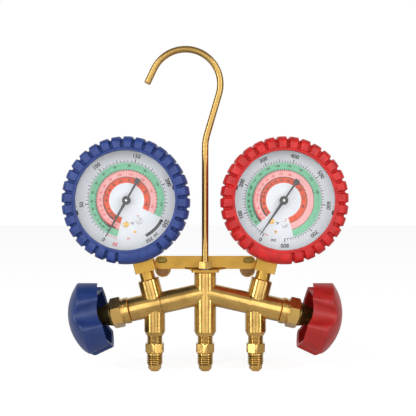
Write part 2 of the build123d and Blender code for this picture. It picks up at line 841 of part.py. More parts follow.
for side_name, side in SIDES.items():
    make_bonnet(f"{side_name}_bonnet", side)
    make_gland(f"{side_name}_gland", side)
    make_seat_disc(f"{side_name}_seat_disc", side)
    make_stem(f"{side_name}_valve_stem", side)
    make_orings(f"{side_name}_stem_orings", side)
    make_knob(f"{side_name}_valve_knob", side)
    make_knob_screw(f"{side_name}_knob_screw", side)

# ---- Gauges -------------------------------------------------------------------------------------


def make_socket(name, side, tube):
    """Gauge socket: pipe-thread neck, square block, and the tongue that carries the movement."""
    with BuildPart() as socket:
        neck = branch_plane(side)
        rod(neck, gauge_neck_radius, branch_length - gauge_thread_depth, gauge_block_start)
        with BuildSketch(branch_plane(side, gauge_block_start)) as block:
            RectangleRounded(gauge_block, gauge_block, block_corner)
        extrude(block.sketch, amount=gauge_distance - tongue_top - gauge_block_start)
        # Above the block's shoulder only the rear tongue is left, up to the back plate's rear face
        with BuildSketch(gauge_plane(side, back_plate_back)) as relief:
            with Locations((0, -(block_top + tongue_top) / 2)):
                Rectangle(gauge_block + 1, block_top - tongue_top)
        extrude(relief.sketch, amount=gauge_block, mode=Mode.SUBTRACT)
        rod(neck, flow_bore_radius, branch_length - gauge_thread_depth, gauge_distance - bourdon_radius,
            mode=Mode.SUBTRACT)
        add(tube, mode=Mode.SUBTRACT)
    finish(socket, name)


def make_case(name, side):
    """Drawn case: a cup with a rounded back edge, pierced for the block."""
    face = gauge_plane(side)
    with BuildPart() as case:
        turned(
            face,
            [
                (0, case_back),
                (case_radius - case_corner, case_back),
                (case_radius, case_back + case_corner),
                (case_radius, case_front),
                (case_radius - case_wall, case_front),
                (case_radius - case_wall, case_back + case_corner + 0.3),
                (case_radius - case_corner - 0.4, case_back + case_back_thickness),
                (0, case_back + case_back_thickness),
            ],
        )
        with BuildSketch(branch_plane(side, gauge_block_start)) as pierced:
            Rectangle(gauge_block + 0.1, gauge_block + 0.1)
        extrude(pierced.sketch, amount=gauge_distance - block_top - gauge_block_start, mode=Mode.SUBTRACT)
    finish(case, name)


def make_bezel(name, side):
    """Bezel ring over the case's rim, with a small tab on each side."""
    face = gauge_plane(side)
    with BuildPart() as bezel:
        turned(
            face,
            [
                (case_radius, bezel_back),
                (bezel_outer, bezel_back),
                (bezel_outer, bezel_front - 0.5),
                (bezel_outer - 0.5, bezel_front),
                (bezel_lip_radius, bezel_front),
                (bezel_lip_radius, lens_front),
                (case_radius, lens_front),
            ],
        )
        reach, width = bezel_tab
        with BuildSketch(gauge_plane(side, lens_front)) as tabs:
            with Locations((-bezel_lip_radius, 0), (bezel_lip_radius, 0)):
                Rectangle(2 * reach, width)
        extrude(tabs.sketch, amount=bezel_lip_thickness)
    finish(bezel, name)


def make_disc(name, side, start, end, bore=0.0):
    """A disc, or a ring if it has a bore, that fits inside the bezel."""
    with BuildPart() as disc:
        rod(gauge_plane(side), lens_radius, start, end)
        if bore:
            rod(gauge_plane(side), bore, start, end, mode=Mode.SUBTRACT)
    finish(disc, name)


def make_boot(name, side):
    """Rubber boot: lip over the bezel, blocks round the rim except by the stem, open back."""
    face = gauge_plane(side)
    shoulder_radius, shoulder_depth = boot_radius - boot_shoulder[0], boot_front - boot_shoulder[1]
    chamfer_radius, chamfer_depth = boot_back_chamfer
    with BuildPart() as boot:
        turned(
            face,
            [
                (boot_opening, bezel_front),
                (boot_opening, boot_front - 0.6),
                (boot_opening + 0.6, boot_front),
                (boot_lip_radius, boot_front),
                (shoulder_radius, shoulder_depth),
                (boot_radius, boot_front_edge),
                (boot_radius, boot_back + chamfer_depth),
                (boot_radius - chamfer_radius, boot_back),
                (boot_back_opening, boot_back),
                (boot_back_opening, case_back),
                (case_radius - case_corner, case_back),
                (case_radius, case_back + case_corner),
                (case_radius, bezel_back),
                (bezel_outer, bezel_back),
                (bezel_outer, bezel_front),
            ],
            start=-90 + 1.5 * block_pitch,
        )
        floor_radius = boot_radius - notch_depth
        width = notch_share * math.radians(block_pitch) * boot_radius
        first = (360 - block_pitch * block_count) / 2
        for index in range(block_count + 1):
            notch = radial_plane(face, -90 - first - block_pitch * index)
            with BuildSketch(notch) as groove:
                with BuildLine():
                    Polyline(
                        (boot_lip_radius, boot_front + 1),
                        (boot_lip_radius, boot_front - 0.4),
                        (shoulder_radius - notch_depth, shoulder_depth - notch_depth / 2),
                        (floor_radius, boot_front_edge - notch_depth),
                        (floor_radius, boot_back + chamfer_depth + 0.8),
                        (floor_radius - chamfer_radius, boot_back - 1),
                        (boot_radius + 1, boot_back - 1),
                        (boot_radius + 1, boot_front + 1),
                        close=True,
                    )
                make_face()
            extrude(groove.sketch, amount=width / 2, both=True, mode=Mode.SUBTRACT)
        with BuildSketch(branch_plane(side, gauge_block_start)) as pierced:
            Rectangle(gauge_block + 0.2, gauge_block + 0.2)
        extrude(pierced.sketch, amount=gauge_distance - block_top - gauge_block_start, mode=Mode.SUBTRACT)
    finish(boot, name)


def make_dial(name, side):
    """Dial plate with its centre and screw holes."""
    with BuildPart() as dial:
        rod(gauge_plane(side), dial_radius, dial_back, dial_front)
        rod(gauge_plane(side), dial_centre_hole, dial_back, dial_front, mode=Mode.SUBTRACT)
        for angle, radius, _, shank in dial_screw_places:
            with BuildSketch(gauge_plane(side, dial_back)) as hole:
                with Locations(clock(angle, radius)):
                    Circle(shank + thread_fit)
            extrude(hole.sketch, amount=dial_thickness, mode=Mode.SUBTRACT)
    finish(dial, name)


def make_dial_screws(name, side):
    """The dial's three slotted screws, threaded into the movement's front plate."""
    with BuildPart() as screws:
        for angle, radius, head, shank in dial_screw_places:
            with BuildSketch(gauge_plane(side, front_plate_back)) as shanks:
                with Locations(clock(angle, radius)):
                    Circle(shank)
            extrude(shanks.sketch, amount=dial_front - front_plate_back)
            with BuildSketch(gauge_plane(side, dial_front)) as heads:
                with Locations(clock(angle, radius)):
                    Circle(head)
            extrude(heads.sketch, amount=dial_screw_head)
            with BuildSketch(gauge_plane(side, dial_front + dial_screw_head / 2)) as slots:
                with Locations(clock(angle, radius)):
                    Rectangle(2 * head, head / 3)
            extrude(slots.sketch, amount=dial_screw_head, mode=Mode.SUBTRACT)
    finish(screws, name)


def bourdon_section(side):
    """The tube's flattened section at its free end."""
    back, front = bourdon_depth
    end_plane = radial_plane(gauge_plane(side), -90 - bourdon_end)
    with BuildSketch(end_plane) as section:
        with Locations((bourdon_radius, (back + front) / 2)):
            RectangleRounded(bourdon_thickness, front - back, bourdon_thickness / 2 - 0.1)
    return section.sketch


def make_bourdon(name, side):
    """Bourdon tube: a flattened tube bent from the block round to its free end."""
    face = gauge_plane(side)
    with BuildPart() as tube:
        revolve(
            bourdon_section(side),
            axis=Axis(face.origin, face.z_dir),
            revolution_arc=bourdon_end - bourdon_start,
        )
    finish(tube, name)
    return tube.part


def make_tube_tip(name, side, tube):
    """End block of the tube, with an ear slotted for the link's pin."""
    back, front = bourdon_depth
    ear_back, ear_front = ear_depth
    length, width = tip_block
    centre = (tip_block_centre_x, tail_place[1])
    slot_width = 2 * (pin_radius + ear_play)
    with BuildPart() as tip:
        with BuildSketch(gauge_plane(side, back)) as block:
            with Locations(centre):
                RectangleRounded(length, width, 1)
        extrude(block.sketch, amount=front - back)
        with BuildSketch(gauge_plane(side, front)) as riser:
            with Locations((tip_block_centre_x + (length - riser_width) / 2, tail_place[1])):
                Rectangle(riser_width, width - 2)
        extrude(riser.sketch, amount=ear_front - front)
        with BuildSketch(gauge_plane(side, ear_back)) as ear:
            start = tip_slot_middle - tip_travel / 2 - 2.2
            end = tip_block_centre_x + length / 2
            with Locations(((start + end) / 2, tail_place[1])):
                Rectangle(end - start, width - 1.4)
            with Locations((tip_slot_middle, tip_slot_height)):
                SlotOverall(tip_travel + slot_width, slot_width, mode=Mode.SUBTRACT)
        extrude(ear.sketch, amount=ear_front - ear_back)
        add(tube, mode=Mode.SUBTRACT)
    finish(tip, name)


def plate_outline():
    """Outline of a movement plate: foot by the stem, waist round the pinion, lobe round the sector's arbor."""
    with BuildSketch() as outline:
        with Locations((0, -plate_foot / 2 + 2)):
            Rectangle(plate_foot_width, plate_foot + 4)
        with BuildSketch(mode=Mode.PRIVATE) as lobes:
            with Locations((0, 0), (-1.5, 2.5)):
                Circle(plate_pivot_radius)
            with Locations(sector_place, pillar_places[3]):
                Circle(plate_pivot_radius / 2 + 0.6)
            make_hull()
        add(lobes.sketch)
    return outline.sketch


def make_movement_frame(name, side):
    """Two movement plates and their pillars, with pads for the dial and bearings for both arbors."""
    with BuildPart() as frame:
        for back, front in ((back_plate_back, back_plate_face), (front_plate_back, front_plate_face)):
            with BuildSketch(gauge_plane(side, back)) as plate:
                add(plate_outline())
                Circle(arbor_radius + running_fit, mode=Mode.SUBTRACT)
                with Locations(sector_place):
                    Circle(sector_arbor_radius + running_fit, mode=Mode.SUBTRACT)
            extrude(plate.sketch, amount=front - back)
        with BuildSketch(gauge_plane(side, back_plate_face)) as pillars:
            with Locations(*pillar_places):
                Circle(pillar_radius)
        extrude(pillars.sketch, amount=front_plate_back - back_plate_face)
        for angle, radius, head, shank in dial_screw_places:
            with BuildSketch(gauge_plane(side, front_plate_face)) as pad:
                with Locations(clock(angle, radius)):
                    Circle(max(head, shank + 0.8))
            extrude(pad.sketch, amount=dial_back - front_plate_face)
            with BuildSketch(gauge_plane(side, front_plate_back)) as hole:
                with Locations(clock(angle, radius)):
                    Circle(shank + thread_fit)
            extrude(hole.sketch, amount=dial_back - front_plate_back, mode=Mode.SUBTRACT)
    finish(frame, name)


def make_hairspring(name, side):
    """Flat spiral spring: half turns whose radius grows by one step each."""
    back, front = spring_depth
    with BuildPart() as spring:
        with BuildSketch(gauge_plane(side, back)) as strip:
            with BuildLine() as coil:
                centre, radius = 0.0, spring_inner_radius
                for turn in range(spring_half_turns):
                    CenterArc((centre, 0), radius, 180 * (turn % 2), 180)
                    centre += spring_step / 2 if turn % 2 else -spring_step / 2
                    radius += spring_step / 2
            trace(line_width=spring_width)
        extrude(strip.sketch, amount=front - back)
    finish(spring, name)


def make_pinion_shaft(name, side):
    """Arbor with its twelve-tooth pinion."""
    face = gauge_plane(side)
    back, front = pinion_depth
    with BuildPart() as pinion:
        with BuildSketch(gauge_plane(side, back)) as wheel:
            Circle(pinion_radius - tooth_dedendum * gear_module)
            for index in range(pinion_teeth):
                gear_tooth(pinion_radius, sector_place_angle + (index + 0.5) * 360 / pinion_teeth)
        extrude(wheel.sketch, amount=front - back)
        rod(face, arbor_radius, back_plate_back, pointer_depth + pointer_hub_height)
    finish(pinion, name)


def make_sector(name, side):
    """Sector gear: toothed rim, hub with its arbor, two spokes, and the tail with the link's pin."""
    back, front = sector_depth
    pitch = 360 / sector_full_teeth
    rim_outer = sector_radius - tooth_dedendum * gear_module
    first = mesh_angle + sector_first_tooth * pitch
    last = mesh_angle + sector_last_tooth * pitch
    middle = math.radians((first + last) / 2)
    reach = 2 * sector_radius
    edges = [math.radians(angle) for angle in (first - pitch, last + pitch)]
    wedge = [(0, 0), (reach * math.cos(edges[0]), reach * math.sin(edges[0]))]
    wedge += [(reach * math.cos(middle), reach * math.sin(middle))]
    wedge += [(reach * math.cos(edges[1]), reach * math.sin(edges[1]))]
    centre = gauge_plane(side).from_local_coords(sector_place)
    pivot = Plane(centre, x_dir=gauge_plane(side).x_dir, z_dir=(0, -1, 0))
    tail = (tail_place[0] - sector_place[0], tail_place[1] - sector_place[1])
    with BuildPart() as sector:
        with BuildSketch(pivot.offset(back)) as body:
            Circle(rim_outer)
            Circle(rim_outer - sector_rim, mode=Mode.SUBTRACT)
            Polygon(*wedge, align=None, mode=Mode.INTERSECT)
            for index in range(sector_first_tooth, sector_last_tooth + 1):
                gear_tooth(sector_radius, mesh_angle + index * pitch)
            Circle(sector_hub_radius)
            for angle in (first, last):
                spoke = math.radians(angle)
                half = (rim_outer - sector_rim / 2) / 2
                with Locations(Location((half * math.cos(spoke), half * math.sin(spoke), 0), (0, 0, angle))):
                    Rectangle(2 * half, sector_spoke)
            with BuildSketch(mode=Mode.PRIVATE) as tail_arm:
                Circle(tail_radius)
                with Locations(tail):
                    Circle(tail_radius)
                make_hull()
            add(tail_arm.sketch)
        extrude(body.sketch, amount=front - back)
        rod(pivot, sector_arbor_radius, back_plate_back, front_plate_face)
        with BuildSketch(pivot.offset(front)) as pin:
            with Locations(tail):
                Circle(pin_radius)
        extrude(pin.sketch, amount=link_depth[1] + 0.4 - front)
    finish(sector, name)


def make_link(name, side):
    """Link from the sector's tail to the tube's tip: two eyes, with a pin at the tip end."""
    back, front = link_depth
    ends = (tail_place, (tail_place[0] + link_length, tail_place[1]))
    with BuildPart() as link:
        with BuildSketch(gauge_plane(side, back)) as bar:
            with Locations(*ends):
                Circle(link_end_radius)
            with Locations((tail_place[0] + link_length / 2, tail_place[1])):
                Rectangle(link_length, link_waist)
            with Locations(tail_place):
                Circle(pin_radius + running_fit, mode=Mode.SUBTRACT)
        extrude(bar.sketch, amount=front - back)
        with BuildSketch(gauge_plane(side, front)) as pin:
            with Locations(ends[1]):
                Circle(pin_radius)
        extrude(pin.sketch, amount=ear_depth[1] + 0.4 - front)
    finish(link, name)


def make_pointer(name, side, rest):
    """Pointer: tapered needle, tail with a square block, and a hub pressed on the arbor."""
    plane = gauge_plane(side, pointer_depth)
    aim = spun(plane, -90 - rest)
    with BuildPart() as pointer:
        with BuildSketch(aim) as needle:
            with BuildLine():
                half_root, half_tip = pointer_root_width / 2, pointer_tip_width / 2
                edge = [(0, -half_root), (pointer_tip, -half_tip), (pointer_tip, half_tip), (0, half_root)]
                Polyline(*edge, close=True)
            make_face()
            with Locations((-pointer_tail / 2, 0)):
                Rectangle(pointer_tail, pointer_neck_width)
            with Locations((-pointer_tail, 0)):
                Rectangle(pointer_block, pointer_block)
            Circle(pointer_hub_radius)
        extrude(needle.sketch, amount=pointer_thickness)
        rod(plane, pointer_hub_radius * 0.8, 0, pointer_hub_height)
        rod(plane, arbor_radius, 0, pointer_hub_height, mode=Mode.SUBTRACT)
    finish(pointer, name)


for side_name, side in SIDES.items():
    tube = make_bourdon(f"{side_name}_bourdon_tube", side)
    make_tube_tip(f"{side_name}_tube_tip", side, tube)
    make_socket(f"{side_name}_gauge_socket", side, tube)
    make_case(f"{side_name}_gauge_case", side)
    make_disc(f"{side_name}_lens_gasket", side, case_front, lens_back, bore=lens_radius - gasket_width)
    make_disc(f"{side_name}_lens", side, lens_back, lens_front)
    make_bezel(f"{side_name}_bezel_ring", side)
    make_boot(f"{side_name}_gauge_boot", side)
    make_dial(f"{side_name}_dial", side)
    make_dial_screws(f"{side_name}_dial_screws", side)
    make_movement_frame(f"{side_name}_movement_frame", side)
    make_hairspring(f"{side_name}_hairspring", side)
    make_pinion_shaft(f"{side_name}_pinion_shaft", side)
    make_sector(f"{side_name}_sector_gear", side)
    make_link(f"{side_name}_tip_link", side)
    make_pointer(f"{side_name}_pointer", side, pointer_rest_angle[side_name])
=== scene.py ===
"""Dresses the packed refrigerant manifold gauge: rubber boots, dials, threads, finishes and a pale studio."""

import math

import bpy
import numpy as np
from bpy.props import FloatProperty, FloatVectorProperty, IntProperty, PointerProperty
from mathutils import Matrix, Vector


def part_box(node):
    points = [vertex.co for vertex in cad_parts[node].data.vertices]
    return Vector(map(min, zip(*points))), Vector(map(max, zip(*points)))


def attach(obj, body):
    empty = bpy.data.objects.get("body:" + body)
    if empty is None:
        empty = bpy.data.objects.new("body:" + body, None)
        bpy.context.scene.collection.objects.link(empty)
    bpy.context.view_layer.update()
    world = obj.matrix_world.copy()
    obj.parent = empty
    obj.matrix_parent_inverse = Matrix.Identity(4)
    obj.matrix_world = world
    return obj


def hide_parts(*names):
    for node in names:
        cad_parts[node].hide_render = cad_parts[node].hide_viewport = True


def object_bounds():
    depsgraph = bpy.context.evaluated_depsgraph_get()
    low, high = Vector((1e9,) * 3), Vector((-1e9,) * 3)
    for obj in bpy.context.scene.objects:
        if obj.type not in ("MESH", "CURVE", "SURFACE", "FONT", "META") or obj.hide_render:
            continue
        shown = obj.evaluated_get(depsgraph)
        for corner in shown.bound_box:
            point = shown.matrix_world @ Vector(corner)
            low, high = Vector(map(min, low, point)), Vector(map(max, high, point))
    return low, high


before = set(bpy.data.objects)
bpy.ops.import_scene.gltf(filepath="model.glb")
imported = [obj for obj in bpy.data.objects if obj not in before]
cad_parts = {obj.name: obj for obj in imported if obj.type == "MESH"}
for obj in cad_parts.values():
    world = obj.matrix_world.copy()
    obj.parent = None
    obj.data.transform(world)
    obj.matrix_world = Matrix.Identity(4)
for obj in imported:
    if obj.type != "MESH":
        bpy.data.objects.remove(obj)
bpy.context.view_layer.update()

bl_info = {
    "name": "Refrigerant Manifold Gauge",
    "version": (1, 0, 0),
    "blender": (4, 5, 0),
    "location": "View3D > Sidebar > Manifold Gauge",
    "description": "Dresses a two-valve manifold with dial prints, boots, threads and finishes",
    "category": "Object",
}

MM = 0.001
SIDES = {"low": -1, "high": 1}
BOOT_COLOUR = {"low": "blue", "high": "red"}
INKS = ["black ink", "red ink", "green ink", "pink ink", "orange ink"]
BLACK, RED, GREEN, PINK, ORANGE = range(5)

# Places that come from the frame
lens_low, lens_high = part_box("high_lens")
gauge_x = (lens_low.x + lens_high.x) / 2
gauge_z = (lens_low.z + lens_high.z) / 2
dial_face_depth = -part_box("low_dial")[0].y
boot_low, boot_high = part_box("low_gauge_boot")
boot_back_depth, boot_front_depth = -boot_high.y, -boot_low.y
boot_outer_radius = (boot_high - boot_low).x / 2
port_x = (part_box("high_side_fitting")[0].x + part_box("high_side_fitting")[1].x) / 2
fitting_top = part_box("charging_fitting")[1].z
stud_front, stud_back = (corner.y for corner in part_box("high_parking_stud"))
floor_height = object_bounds()[0].z - 0.2 * MM

# Lean of each gauge, then the right-hand stud's axis and the bracket's slot above it
GAUGE_LEAN = math.radians(14.5)
STUD_X, STUD_Z = 30.5 * MM, 65.3 * MM
SLOT_X, SLOT_Z = 30.9 * MM, 72.2 * MM
BRACKET_BACK = 9.1 * MM

# Outer radius of the 7/16 inch thread
THREAD_RADIUS = 5.555 * MM
# Radius of the pinhole that closes the end of a turned form
PINHOLE = 0.02 * MM


# ---- Settings ----


def number(name, description, default, **options):
    """Number setting."""
    return FloatProperty(name=name, description=description, default=default, **options)


def length(name, description, millimetres):
    """Length setting."""
    return number(name, description, millimetres * MM, subtype="DISTANCE", unit="LENGTH")


def share(name, description, default, largest=1):
    """Setting for a share of a whole."""
    return number(name, description, default, subtype="FACTOR", min=0, max=largest)


def power(name, description, watts):
    """Setting for a lamp's power."""
    return number(name, description, watts, subtype="POWER", unit="POWER")


def colour(name, description, rgb):
    """Colour setting, given as the 0 to 255 values that a colour chip shows."""
    linear = [(value / 255) ** 2.2 for value in rgb]
    return FloatVectorProperty(
        name=name, description=description, default=linear, size=3, min=0, max=1, subtype="COLOR",
    )


class BootSettings(bpy.types.PropertyGroup):
    """Rubber boot round each gauge."""

    block_pitch: number(
        "Block Pitch", "Angle from one block to the next", math.radians(11.25),
        subtype="ANGLE", unit="ROTATION",
    )
    block_count: IntProperty(name="Blocks", description="Blocks round the rim", default=28, min=4)
    notch_share: share("Notch Share", "Share of a pitch that the notch takes at its floor", 0.11)
    notch_flank: share("Notch Flank", "Share of a pitch that each sloping side of a notch takes", 0.12, 0.4)
    notch_depth: length("Notch Depth", "How far a notch goes into the rim", 1.9)
    face_depth: length("Face Groove Depth", "How far a notch goes back into the front face", 2.4)
    opening_radius: length("Opening Radius", "Radius of the front opening over the lens", 34.05)
    lip_radius: length("Lip Radius", "Where the smooth lip ends and the blocks begin", 36.0)


class DialSettings(bpy.types.PropertyGroup):
    """Printed dial of each gauge."""

    print_height: length("Print Height", "Height of the ink above the dial", 0.03)
    band_inner: length("Band Inner Radius", "Inner radius of the innermost band", 12.2)
    inner_band_width: length("Inner Band Width", "Width of the innermost band", 4.3)
    middle_band_width: length("Middle Band Width", "Width of the middle band", 4.5)
    outer_band_width: length("Outer Band Width", "Width of the outer band", 5.0)
    scale_radius: length("Scale Radius", "Radius of the pressure scale's arc", 26.6)
    number_radius: length("Number Radius", "Radius of the pressure scale's numbers", 31.3)
    number_height: length("Number Height", "Height of the pressure scale's numbers", 2.7)


class ThreadSettings(bpy.types.PropertyGroup):
    """Flare threads of the ports and parking studs."""

    pitch: length("Thread Pitch", "Pitch of the 7/16-20 thread", 1.27)
    depth: length("Thread Depth", "Depth of the thread's V", 0.66)
    across_flats: length("Hexagon Across Flats", "Size of each fitting's hexagon", 12.7)


class ColourSettings(bpy.types.PropertyGroup):
    """Colours of the finishes."""

    blue_rubber: colour("Blue Rubber", "Low side boot", (47, 70, 138))
    red_rubber: colour("Red Rubber", "High side boot", (212, 36, 35))
    blue_plastic: colour("Blue Plastic", "Low side knob", (40, 62, 120))
    red_plastic: colour("Red Plastic", "High side knob", (178, 38, 35))
    brass: colour("Brass", "Body, fittings and bonnets", (226, 182, 98))
    brass_tarnish: colour("Tarnished Brass", "Tone in the tarnished patches", (168, 130, 62))
    # Darker than the body's brass: painted shade on the glands, which sit in shadow between bonnet and knob
    gland_brass: colour("Gland Brass", "Oiled packing glands", (142, 120, 62))
    wire: colour("Plated Wire", "Yellow plated hook", (192, 154, 84))
    dial_white: colour("Dial White", "Ground colour of the dials", (214, 216, 222))
    green_ink: colour("Green Ink", "Outer temperature band", (112, 186, 146))
    pink_ink: colour("Pink Ink", "Middle temperature band", (230, 163, 163))
    orange_ink: colour("Orange Ink", "Inner temperature band", (214, 72, 18))
    black_ink: colour("Black Ink", "Pressure scale", (38, 38, 42))
    red_ink: colour("Red Ink", "Vacuum scale", (216, 70, 60))


class StudioSettings(bpy.types.PropertyGroup):
    """Floor, lamps and camera."""

    camera_distance: length("Camera Distance", "From the camera to the gauge's mid plane", 570)
    camera_height: length("Camera Height", "Height of the camera above the ports", 109.5)
    camera_aside: length("Camera Aside", "How far right of the middle the camera stands", 2)
    focal_length: number("Focal Length", "Lens of the camera", 70.0, subtype="DISTANCE_CAMERA")
    key_power: power("Key Lamp", "Power of the strip lamp at the left", 6.6)
    front_power: power("Front Lamps", "Power of each lamp beside the viewer", 4.5)
    fill_power: power("Fill Lamp", "Power of the strip lamp at the right", 4.4)
    room_level: number("Room Level", "Strength of the light from all round", 0.42, min=0)


# ---- Shader helpers and groups ----


def feed(tree, socket, setting):
    """Gives an input socket its value, or links an output socket to it."""
    if isinstance(setting, bpy.types.NodeSocket):
        tree.links.new(setting, socket)
    elif socket.type == "RGBA":
        socket.default_value = (*setting[:3], 1)
    else:
        socket.default_value = setting


def add_node(tree, kind, inputs=None, **attributes):
    """Node with its attributes set and its inputs, by name or number, set or linked."""
    node = tree.nodes.new(f"ShaderNode{kind}")
    for key, value in attributes.items():
        setattr(node, key, value)
    for key, setting in (inputs or {}).items():
        feed(tree, node.inputs[key], setting)
    return node


def noise(tree, vector, scale, detail=2.0, roughness=0.5):
    """Noise texture on a vector."""
    inputs = {"Detail": detail, "Roughness": roughness, "Vector": vector, "Scale": scale}
    return add_node(tree, "TexNoise", inputs).outputs["Fac"]


def remap(tree, value, low, high, to_low=0.0, to_high=1.0):
    """Smooth remap of a value."""
    inputs = {"Value": value, "From Min": low, "From Max": high, "To Min": to_low, "To Max": to_high}
    return add_node(tree, "MapRange", inputs, interpolation_type="SMOOTHSTEP").outputs["Result"]


def maths(tree, operation, first, second):
    """Result of a sum, product or other operation on two values."""
    return add_node(tree, "Math", {0: first, 1: second}, operation=operation).outputs["Value"]


def blended(tree, factor, first, second):
    """Colour mixed from two colours by a factor."""
    colour_sockets = {"Factor": factor, 6: first, 7: second}
    return add_node(tree, "Mix", colour_sockets, data_type="RGBA").outputs[2]


def mixed_shaders(tree, factor, first, second):
    """Shader mixed from two shaders by a factor."""
    return add_node(tree, "MixShader", {"Fac": factor, 1: first, 2: second}).outputs["Shader"]


def object_place(tree):
    """Place on the object, in metres."""
    return add_node(tree, "TexCoord").outputs["Object"]


def new_group(name, inputs, outputs):
    """Empty shader group; inputs map a name to a default, outputs map a name to a socket type."""
    group = bpy.data.node_groups.new(name, "ShaderNodeTree")
    for socket_name, default in inputs.items():
        kind = "NodeSocketColor" if isinstance(default, tuple) else "NodeSocketFloat"
        group.interface.new_socket(name=socket_name, in_out="INPUT", socket_type=kind).default_value = default
    for socket_name, kind in outputs.items():
        group.interface.new_socket(name=socket_name, in_out="OUTPUT", socket_type=kind)
    return group, group.nodes.new("NodeGroupInput").outputs, group.nodes.new("NodeGroupOutput").inputs


def make_tarnish_group():
    """Patches and streaks that mix a bright metal tone with a dull one."""
    group, given, result = new_group(
        "Tarnish",
        {"Bright": (0.8, 0.5, 0.1, 1), "Dull": (0.4, 0.2, 0.05, 1), "Amount": 0.5, "Patch Scale": 60.0},
        {"Color": "NodeSocketColor"},
    )
    place = object_place(group)
    broad = noise(group, place, given["Patch Scale"], 4.0, 0.6)
    speck = noise(group, place, 900.0)
    mask = maths(group, "ADD", remap(group, broad, 0.42, 0.72), remap(group, speck, 0.62, 0.8, 0.0, 0.35))
    mask = maths(group, "MULTIPLY", mask, given["Amount"])
    group.links.new(blended(group, mask, given["Bright"], given["Dull"]), result["Color"])
    return group


def make_grain_group():
    """Fine grain of a cast, moulded or printed surface: a height and a tone."""
    group, given, result = new_group(
        "Surface Grain",
        {"Scale": 1500.0, "Coarse Share": 0.4},
        {"Height": "NodeSocketFloat", "Tone": "NodeSocketFloat"},
    )
    place = object_place(group)
    fine = noise(group, place, given["Scale"], 3.0)
    coarse = noise(group, place, maths(group, "MULTIPLY", given["Scale"], 0.13), 3.0)
    height = maths(group, "ADD", fine, maths(group, "MULTIPLY", coarse, given["Coarse Share"]))
    group.links.new(height, result["Height"])
    group.links.new(remap(group, coarse, 0.3, 0.7), result["Tone"])
    return group


def make_handling_group():
    """Handling marks: smears and hairline scratches that vary the gloss."""
    group, given, result = new_group(
        "Handling Marks",
        {"Polished": 0.2, "Worn": 0.35, "Smear Scale": 70.0},
        {"Roughness": "NodeSocketFloat"},
    )
    place = object_place(group)
    smear = noise(group, place, given["Smear Scale"], 3.0, 0.6)
    stretch = {"Vector": place, "Rotation": (0.3, 0.2, 0.5), "Scale": (1.0, 1.0, 14.0)}
    hairlines = noise(group, add_node(group, "Mapping", stretch).outputs["Vector"], 260.0)
    scratches = remap(group, hairlines, 0.66, 0.74)
    roughness = remap(group, smear, 0.35, 0.7, given["Polished"], given["Worn"])
    roughness = maths(group, "ADD", roughness, maths(group, "MULTIPLY", scratches, 0.06))
    group.links.new(roughness, result["Roughness"])
    return group


GROUP_MAKERS = {
    "Tarnish": make_tarnish_group,
    "Surface Grain": make_grain_group,
    "Handling Marks": make_handling_group,
}


def place_group(tree, name, **values):
    """Outputs of a shared group in a material, its inputs set; a word's underscores are its spaces."""
    node = add_node(tree, "Group", node_tree=bpy.data.node_groups.get(name) or GROUP_MAKERS[name]())
    for key, value in values.items():
        feed(tree, node.inputs[key.replace("_", " ")], value)
    return node.outputs


# ---- Finishes ----


def new_finish(name, **sockets):
    """Node tree and Principled shader of a new material; the shader's sockets are set by name."""
    material = bpy.data.materials.new(name)
    material.use_nodes = True
    tree = material.node_tree
    shader = tree.nodes["Principled BSDF"]
    for key, value in sockets.items():
        feed(tree, shader.inputs[key.replace("_", " ")], value)
    return tree, shader


def raise_grain(tree, shader, height, millimetres, strength=1.0):
    """Bump from a height, on the shader's normal."""
    bump = add_node(tree, "Bump", {"Height": height, "Distance": millimetres * MM, "Strength": strength})
    tree.links.new(bump.outputs["Normal"], shader.inputs["Normal"])


def metal_finish(name, bright, dull, amount, polished, worn, grain_scale=1400.0, grain_depth=0.004, coat=0.0):
    """Bare or plated metal with tarnish, handling marks and a fine grain."""
    tree, shader = new_finish(name, Metallic=0.9, Coat_Weight=coat, Coat_Roughness=0.12)
    tarnish = place_group(tree, "Tarnish", Bright=bright, Dull=dull, Amount=amount)
    marks = place_group(tree, "Handling Marks", Polished=polished, Worn=worn)
    grain = place_group(tree, "Surface Grain", Scale=grain_scale)
    tree.links.new(tarnish["Color"], shader.inputs["Base Color"])
    tree.links.new(marks["Roughness"], shader.inputs["Roughness"])
    raise_grain(tree, shader, grain["Height"], grain_depth)


def moulded_finish(name, tint, polished, worn, grain_depth, grain_scale=1500.0, tone=0.16, coat=0.0):
    """Moulded rubber or plastic: slight tone changes, handling marks and a moulded grain."""
    tree, shader = new_finish(name, Coat_Weight=coat)
    grain = place_group(tree, "Surface Grain", Scale=grain_scale, Coarse_Share=0.8)
    marks = place_group(tree, "Handling Marks", Polished=polished, Worn=worn, Smear_Scale=45.0)
    light = [min(1, value * (1 + tone) + 0.004) for value in tint]
    dark = [value * (1 - tone) for value in tint]
    tree.links.new(blended(tree, grain["Tone"], dark, light), shader.inputs["Base Color"])
    tree.links.new(marks["Roughness"], shader.inputs["Roughness"])
    raise_grain(tree, shader, grain["Height"], grain_depth)


def ink_finish(name, tint):
    """Screen printed ink, slightly uneven."""
    tree, shader = new_finish(name, Roughness=0.5)
    grain = place_group(tree, "Surface Grain", Scale=2600.0, Coarse_Share=0.6)
    thin = [min(1, value * 1.06 + 0.01) for value in tint]
    tree.links.new(blended(tree, grain["Tone"], tint, thin), shader.inputs["Base Color"])
    raise_grain(tree, shader, grain["Height"], 0.002, 0.5)


def glass_finish(name):
    """Clear lens: glass, but lamps shine through it without a shadow."""
    tree, shader = new_finish(
        name, Base_Color=(0.97, 0.98, 0.98), Roughness=0.03, IOR=1.30, Transmission_Weight=1.0,
    )
    clear = add_node(tree, "BsdfTransparent").outputs["BSDF"]
    in_shadow = add_node(tree, "LightPath").outputs["Is Shadow Ray"]
    surface = mixed_shaders(tree, in_shadow, shader.outputs["BSDF"], clear)
    tree.links.new(surface, tree.nodes["Material Output"].inputs["Surface"])


